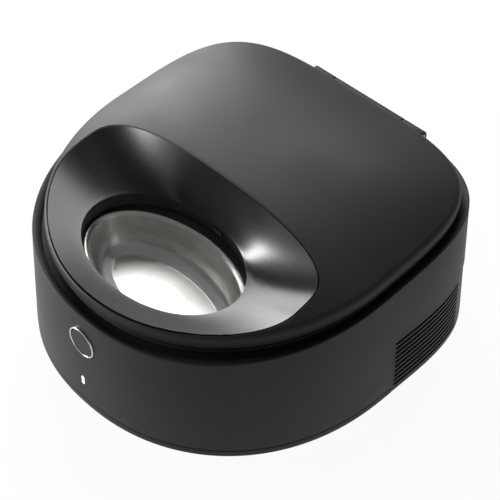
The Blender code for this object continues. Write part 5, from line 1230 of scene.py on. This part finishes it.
def serving_seal():
    top = COLLAR_BOTTOM - GAP
    near, far = COLLAR_RELIEF + GAP, COLLAR_RELIEF + GAP + SEAL_WIDTH
    rings = hole_rings((near, SEAL_BOTTOM), (near, top), (far, top), (far, SEAL_BOTTOM))
    seal = skin("seal_skin", rings, SEAL_ROUNDS, True)
    dress(seal, "silicone", "lid", "serving_seal")


def lid_liner():
    outer, low = LID_WALL + PAN_CLEAR, DECK_LEVEL + SKIRT_LIFT
    inner, high = outer + SKIRT_TOP_WIDTH, low + PAN_SHEET
    entry, floor = LID_LOW + SKIRT_ENTRY, PLUG_BOTTOM + PAN_SHEET
    rings = [
        *plans(PLUG, 0, (PAN_MIDDLE, PLUG_BOTTOM), (0, PLUG_BOTTOM)),
        plan(PLUG, -PLUG_FLARE, low, RIM_SLOPE),
        *plans(LID, RIM_SLOPE, (outer + SKIRT_WIDTH, low), (outer, low)),
        *plans(LID, LID_SLOPE, (outer, entry), (inner, entry)),
        plan(LID, inner, high, RIM_SLOPE),
        plan(PLUG, PAN_SHEET - PLUG_FLARE, high, RIM_SLOPE),
        *plans(PLUG, 0, (PAN_SHEET, floor), (PAN_MIDDLE, floor)),
    ]
    pan = skin("pan_skin", rings, PAN_ROUNDS, False, 5)
    spare = COLLAR_OUTER + GAP
    carve(pan, [loft("pan_hole", hole_rings((spare, PLUG_BOTTOM - OVER), (spare, HOLE_LEVEL)))])
    dress(pan, "black", "lid", "lid_liner")


def lid_gasket():
    low, high = DECK_LEVEL + GAP, DECK_LEVEL + SKIRT_LIFT - GAP
    near, far = GASKET_INSET, GASKET_INSET + GASKET_WIDTH
    rings = plans(LID, RIM_SLOPE, (near, low), (near, high), (far, high), (far, low))
    gasket = skin("gasket_skin", rings, GASKET_ROUNDS, True, 5)
    dress(gasket, "silicone", "lid", "lid_gasket")


# Hinge

def rounded_ends(left, right, bend, steps=4):
    """Places along x from left to right, with how far the section shrinks at each."""
    near = []
    for step in range(steps, -1, -1):
        turn = math.pi / 2 * step / steps
        near.append((left + bend * (1 - math.sin(turn)), bend * (1 - math.cos(turn))))
    return near + [(left + right - x, shrink) for x, shrink in reversed(near)]


def knuckle(name, left, right, low):
    """A knuckle with the web under it."""
    rings = []
    for x, shrink in rounded_ends(left, right, KNUCKLE_END):
        radius = KNUCKLE_RADIUS - shrink
        top = arc(HINGE_Y, HINGE_Z, radius, [math.pi * (1 - k / 24) for k in range(25)])
        rings.append(section(x, [(HINGE_Y - radius, low), *top, (HINGE_Y + radius, low)]))
    return loft(name, rings)


def barrel(name, left, right):
    return loft(name, [section(x, arc(HINGE_Y, HINGE_Z, KNUCKLE_RADIUS - shrink, turns(64)))
                       for x, shrink in rounded_ends(left, right, BARREL_END)])


def pin_bore(name, half):
    return cylinder(name, (-half - OVER, HINGE_Y, HINGE_Z), (half + OVER, HINGE_Y, HINGE_Z),
                    PIN_RADIUS + GAP, 48)


def hinge():
    low = NOTCH_FLOOR + GAP
    high = low + HINGE_PLATE
    bracket = box("bracket_skin", (-HINGE_HALF_LENGTH, HINGE_PLATE_FRONT_Y, low),
                  (HINGE_HALF_LENGTH, HINGE_PLATE_REAR_Y, high), HINGE_PLATE_ROUND)
    near, far = HINGE_SPLIT + GAP * 2, HINGE_HALF_LENGTH
    carve(bracket, [knuckle("knuckle_left", -far, -near, high - GAP),
                    knuckle("knuckle_right", near, far, high - GAP)], "UNION")
    cuts = [pin_bore("bracket_bore", far)]
    for side in (-1, 1):
        x, y, top = side * HINGE_SCREW_X, HINGE_SCREW_Y, high + OVER
        cuts.append(upright(f"hinge_hole_{side}", x, y, low - OVER, top, SCREW_HOLE, 32))
        cuts.append(upright(f"hinge_recess_{side}", x, y, high - HINGE_SCREW_SINK, top, SCREW_HEAD + GAP, 48))
    carve(bracket, cuts)
    dress(bracket, "charcoal", "base", "hinge_bracket")
    arm = barrel("arm_skin", -HINGE_SPLIT, HINGE_SPLIT)
    top = HINGE_Z + KNUCKLE_RADIUS - GAP
    plate = box("arm_plate", (-ARM_HALF_LENGTH, ARM_FRONT_Y, top - ARM_THICKNESS),
                (ARM_HALF_LENGTH, HINGE_Y, top), ARM_ROUND)
    carve(arm, [plate], "UNION")
    carve(arm, [pin_bore("arm_bore", HINGE_SPLIT)])
    dress(arm, "charcoal", "lid", "lid_hinge_arm")


# Front and rear details

def face_ring(radius, depth, face):
    """A ring about the button's axis, depth behind the face."""
    return [Vector((x, face + depth, z)) for x, z in arc(0, BUTTON_Z, radius, turns(128))]


def button():
    face = body_front(BUTTON_Z) - RING_PROUD
    middle, half = (RING_INNER + RING_OUTER) / 2, (RING_OUTER - RING_INNER) / 2
    rings = [face_ring(RING_INNER, RING_DEPTH, face)]
    for k in range(13):
        angle = math.pi * (1 - k / 12)
        rings.append(face_ring(middle + half * math.cos(angle), half * (1 - math.sin(angle)), face))
    rings.append(face_ring(RING_OUTER, RING_DEPTH, face))
    dress(loft("ring_skin", rings, closed=True), "chrome", "base", "button_ring")
    face = body_front(BUTTON_Z) - CAP_PROUD
    depth = RING_DEPTH - RING_PROUD + CAP_PROUD + GAP
    radius = RING_INNER - GAP
    rear = depth + CAP_FLANGE_THICKNESS
    profile = ((CAP_DISH_RADIUS, CAP_DISH), (radius, 0), (radius, depth), (CAP_FLANGE, depth),
               (CAP_FLANGE, rear), (CAP_DISH_RADIUS, rear))
    rings = [face_ring(out, inward, face) for out, inward in profile]
    cap = skin("cap_skin", rings, CAP_ROUNDS, False, 5)
    dress(cap, "charcoal", "button", "button_cap")
    front = body_front(LIGHT_Z) - LIGHT_PROUD
    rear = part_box("light_window")[1][1]
    window = skin("light_skin", [light_outline(-LIGHT_ROUND, front), light_outline(0, front),
                                 light_outline(0, rear)], (0, LIGHT_ROUND, 0), False, 3)
    dress(window, "light", "base", "light_window")


def along_jack(name, front, rear, radius, segments=96):
    """A cylinder on the power socket's axis."""
    return cylinder(name, (JACK_X, front, JACK_Z), (JACK_X, rear, JACK_Z), radius, segments)


def power_socket():
    socket = box("socket_skin", (JACK_X - JACK_HALF, JACK_FRONT_Y, JACK_Z - JACK_HALF),
                 (JACK_X + JACK_HALF, JACK_REAR_Y, JACK_Z + JACK_HALF), JACK_ROUND)
    start = JACK_END_Y - JACK_BORE_DEPTH
    carve(socket, [along_jack("barrel", JACK_REAR_Y - GAP, JACK_END_Y, JACK_BARREL)], "UNION")
    carve(socket, [along_jack("bore", start, JACK_END_Y + OVER, JACK_BORE)])
    carve(socket, [along_jack("pin", start - GAP, JACK_END_Y - GAP, JACK_PIN, 32)], "UNION")
    dress(socket, "black", "base", "dc_socket")


CARRIED = {
    "foam": ("chamber_insulation", "lid_insulation"),
    "aluminium": ("cold_plate", "heat_sink"),
    "ceramic": ("thermoelectric_module",),
    "black": ("fan_frame", "fan_rotor", "button_switch"),
    "steel": ("fan_screw_one", "fan_screw_two", "gear_motor", "motor_bracket", "deck_magnet_left",
              "deck_magnet_right", "lid_magnet_left", "lid_magnet_right", "hinge_pin", "hinge_screw_left",
              "hinge_screw_right", "turntable_spindle", "temperature_sensor"),
    "gear": ("spindle_bearing", "drive_gear", "drive_pinion"),
    "board": ("main_board", "front_board"),
    "sensor": ("serving_sensor",),
}


def finish_carried_nodes():
    for finish, names in CARRIED.items():
        for name in names:
            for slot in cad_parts[name].material_slots:
                slot.material = FINISHES[finish][1]


make_camera()
make_lights()
make_world()
make_floor()
outer_shell()
bottom_cover()
vent_grilles()
feet_and_screws()
top_deck()
chamber_liner()
food_tray()
bowls()
lift_knob()
turntable()
lid_shell()
scoop_insert()
serving_seal()
lid_liner()
lid_gasket()
hinge()
button()
power_socket()
finish_carried_nodes()
bpy.context.scene.view_settings.view_transform = "Standard"
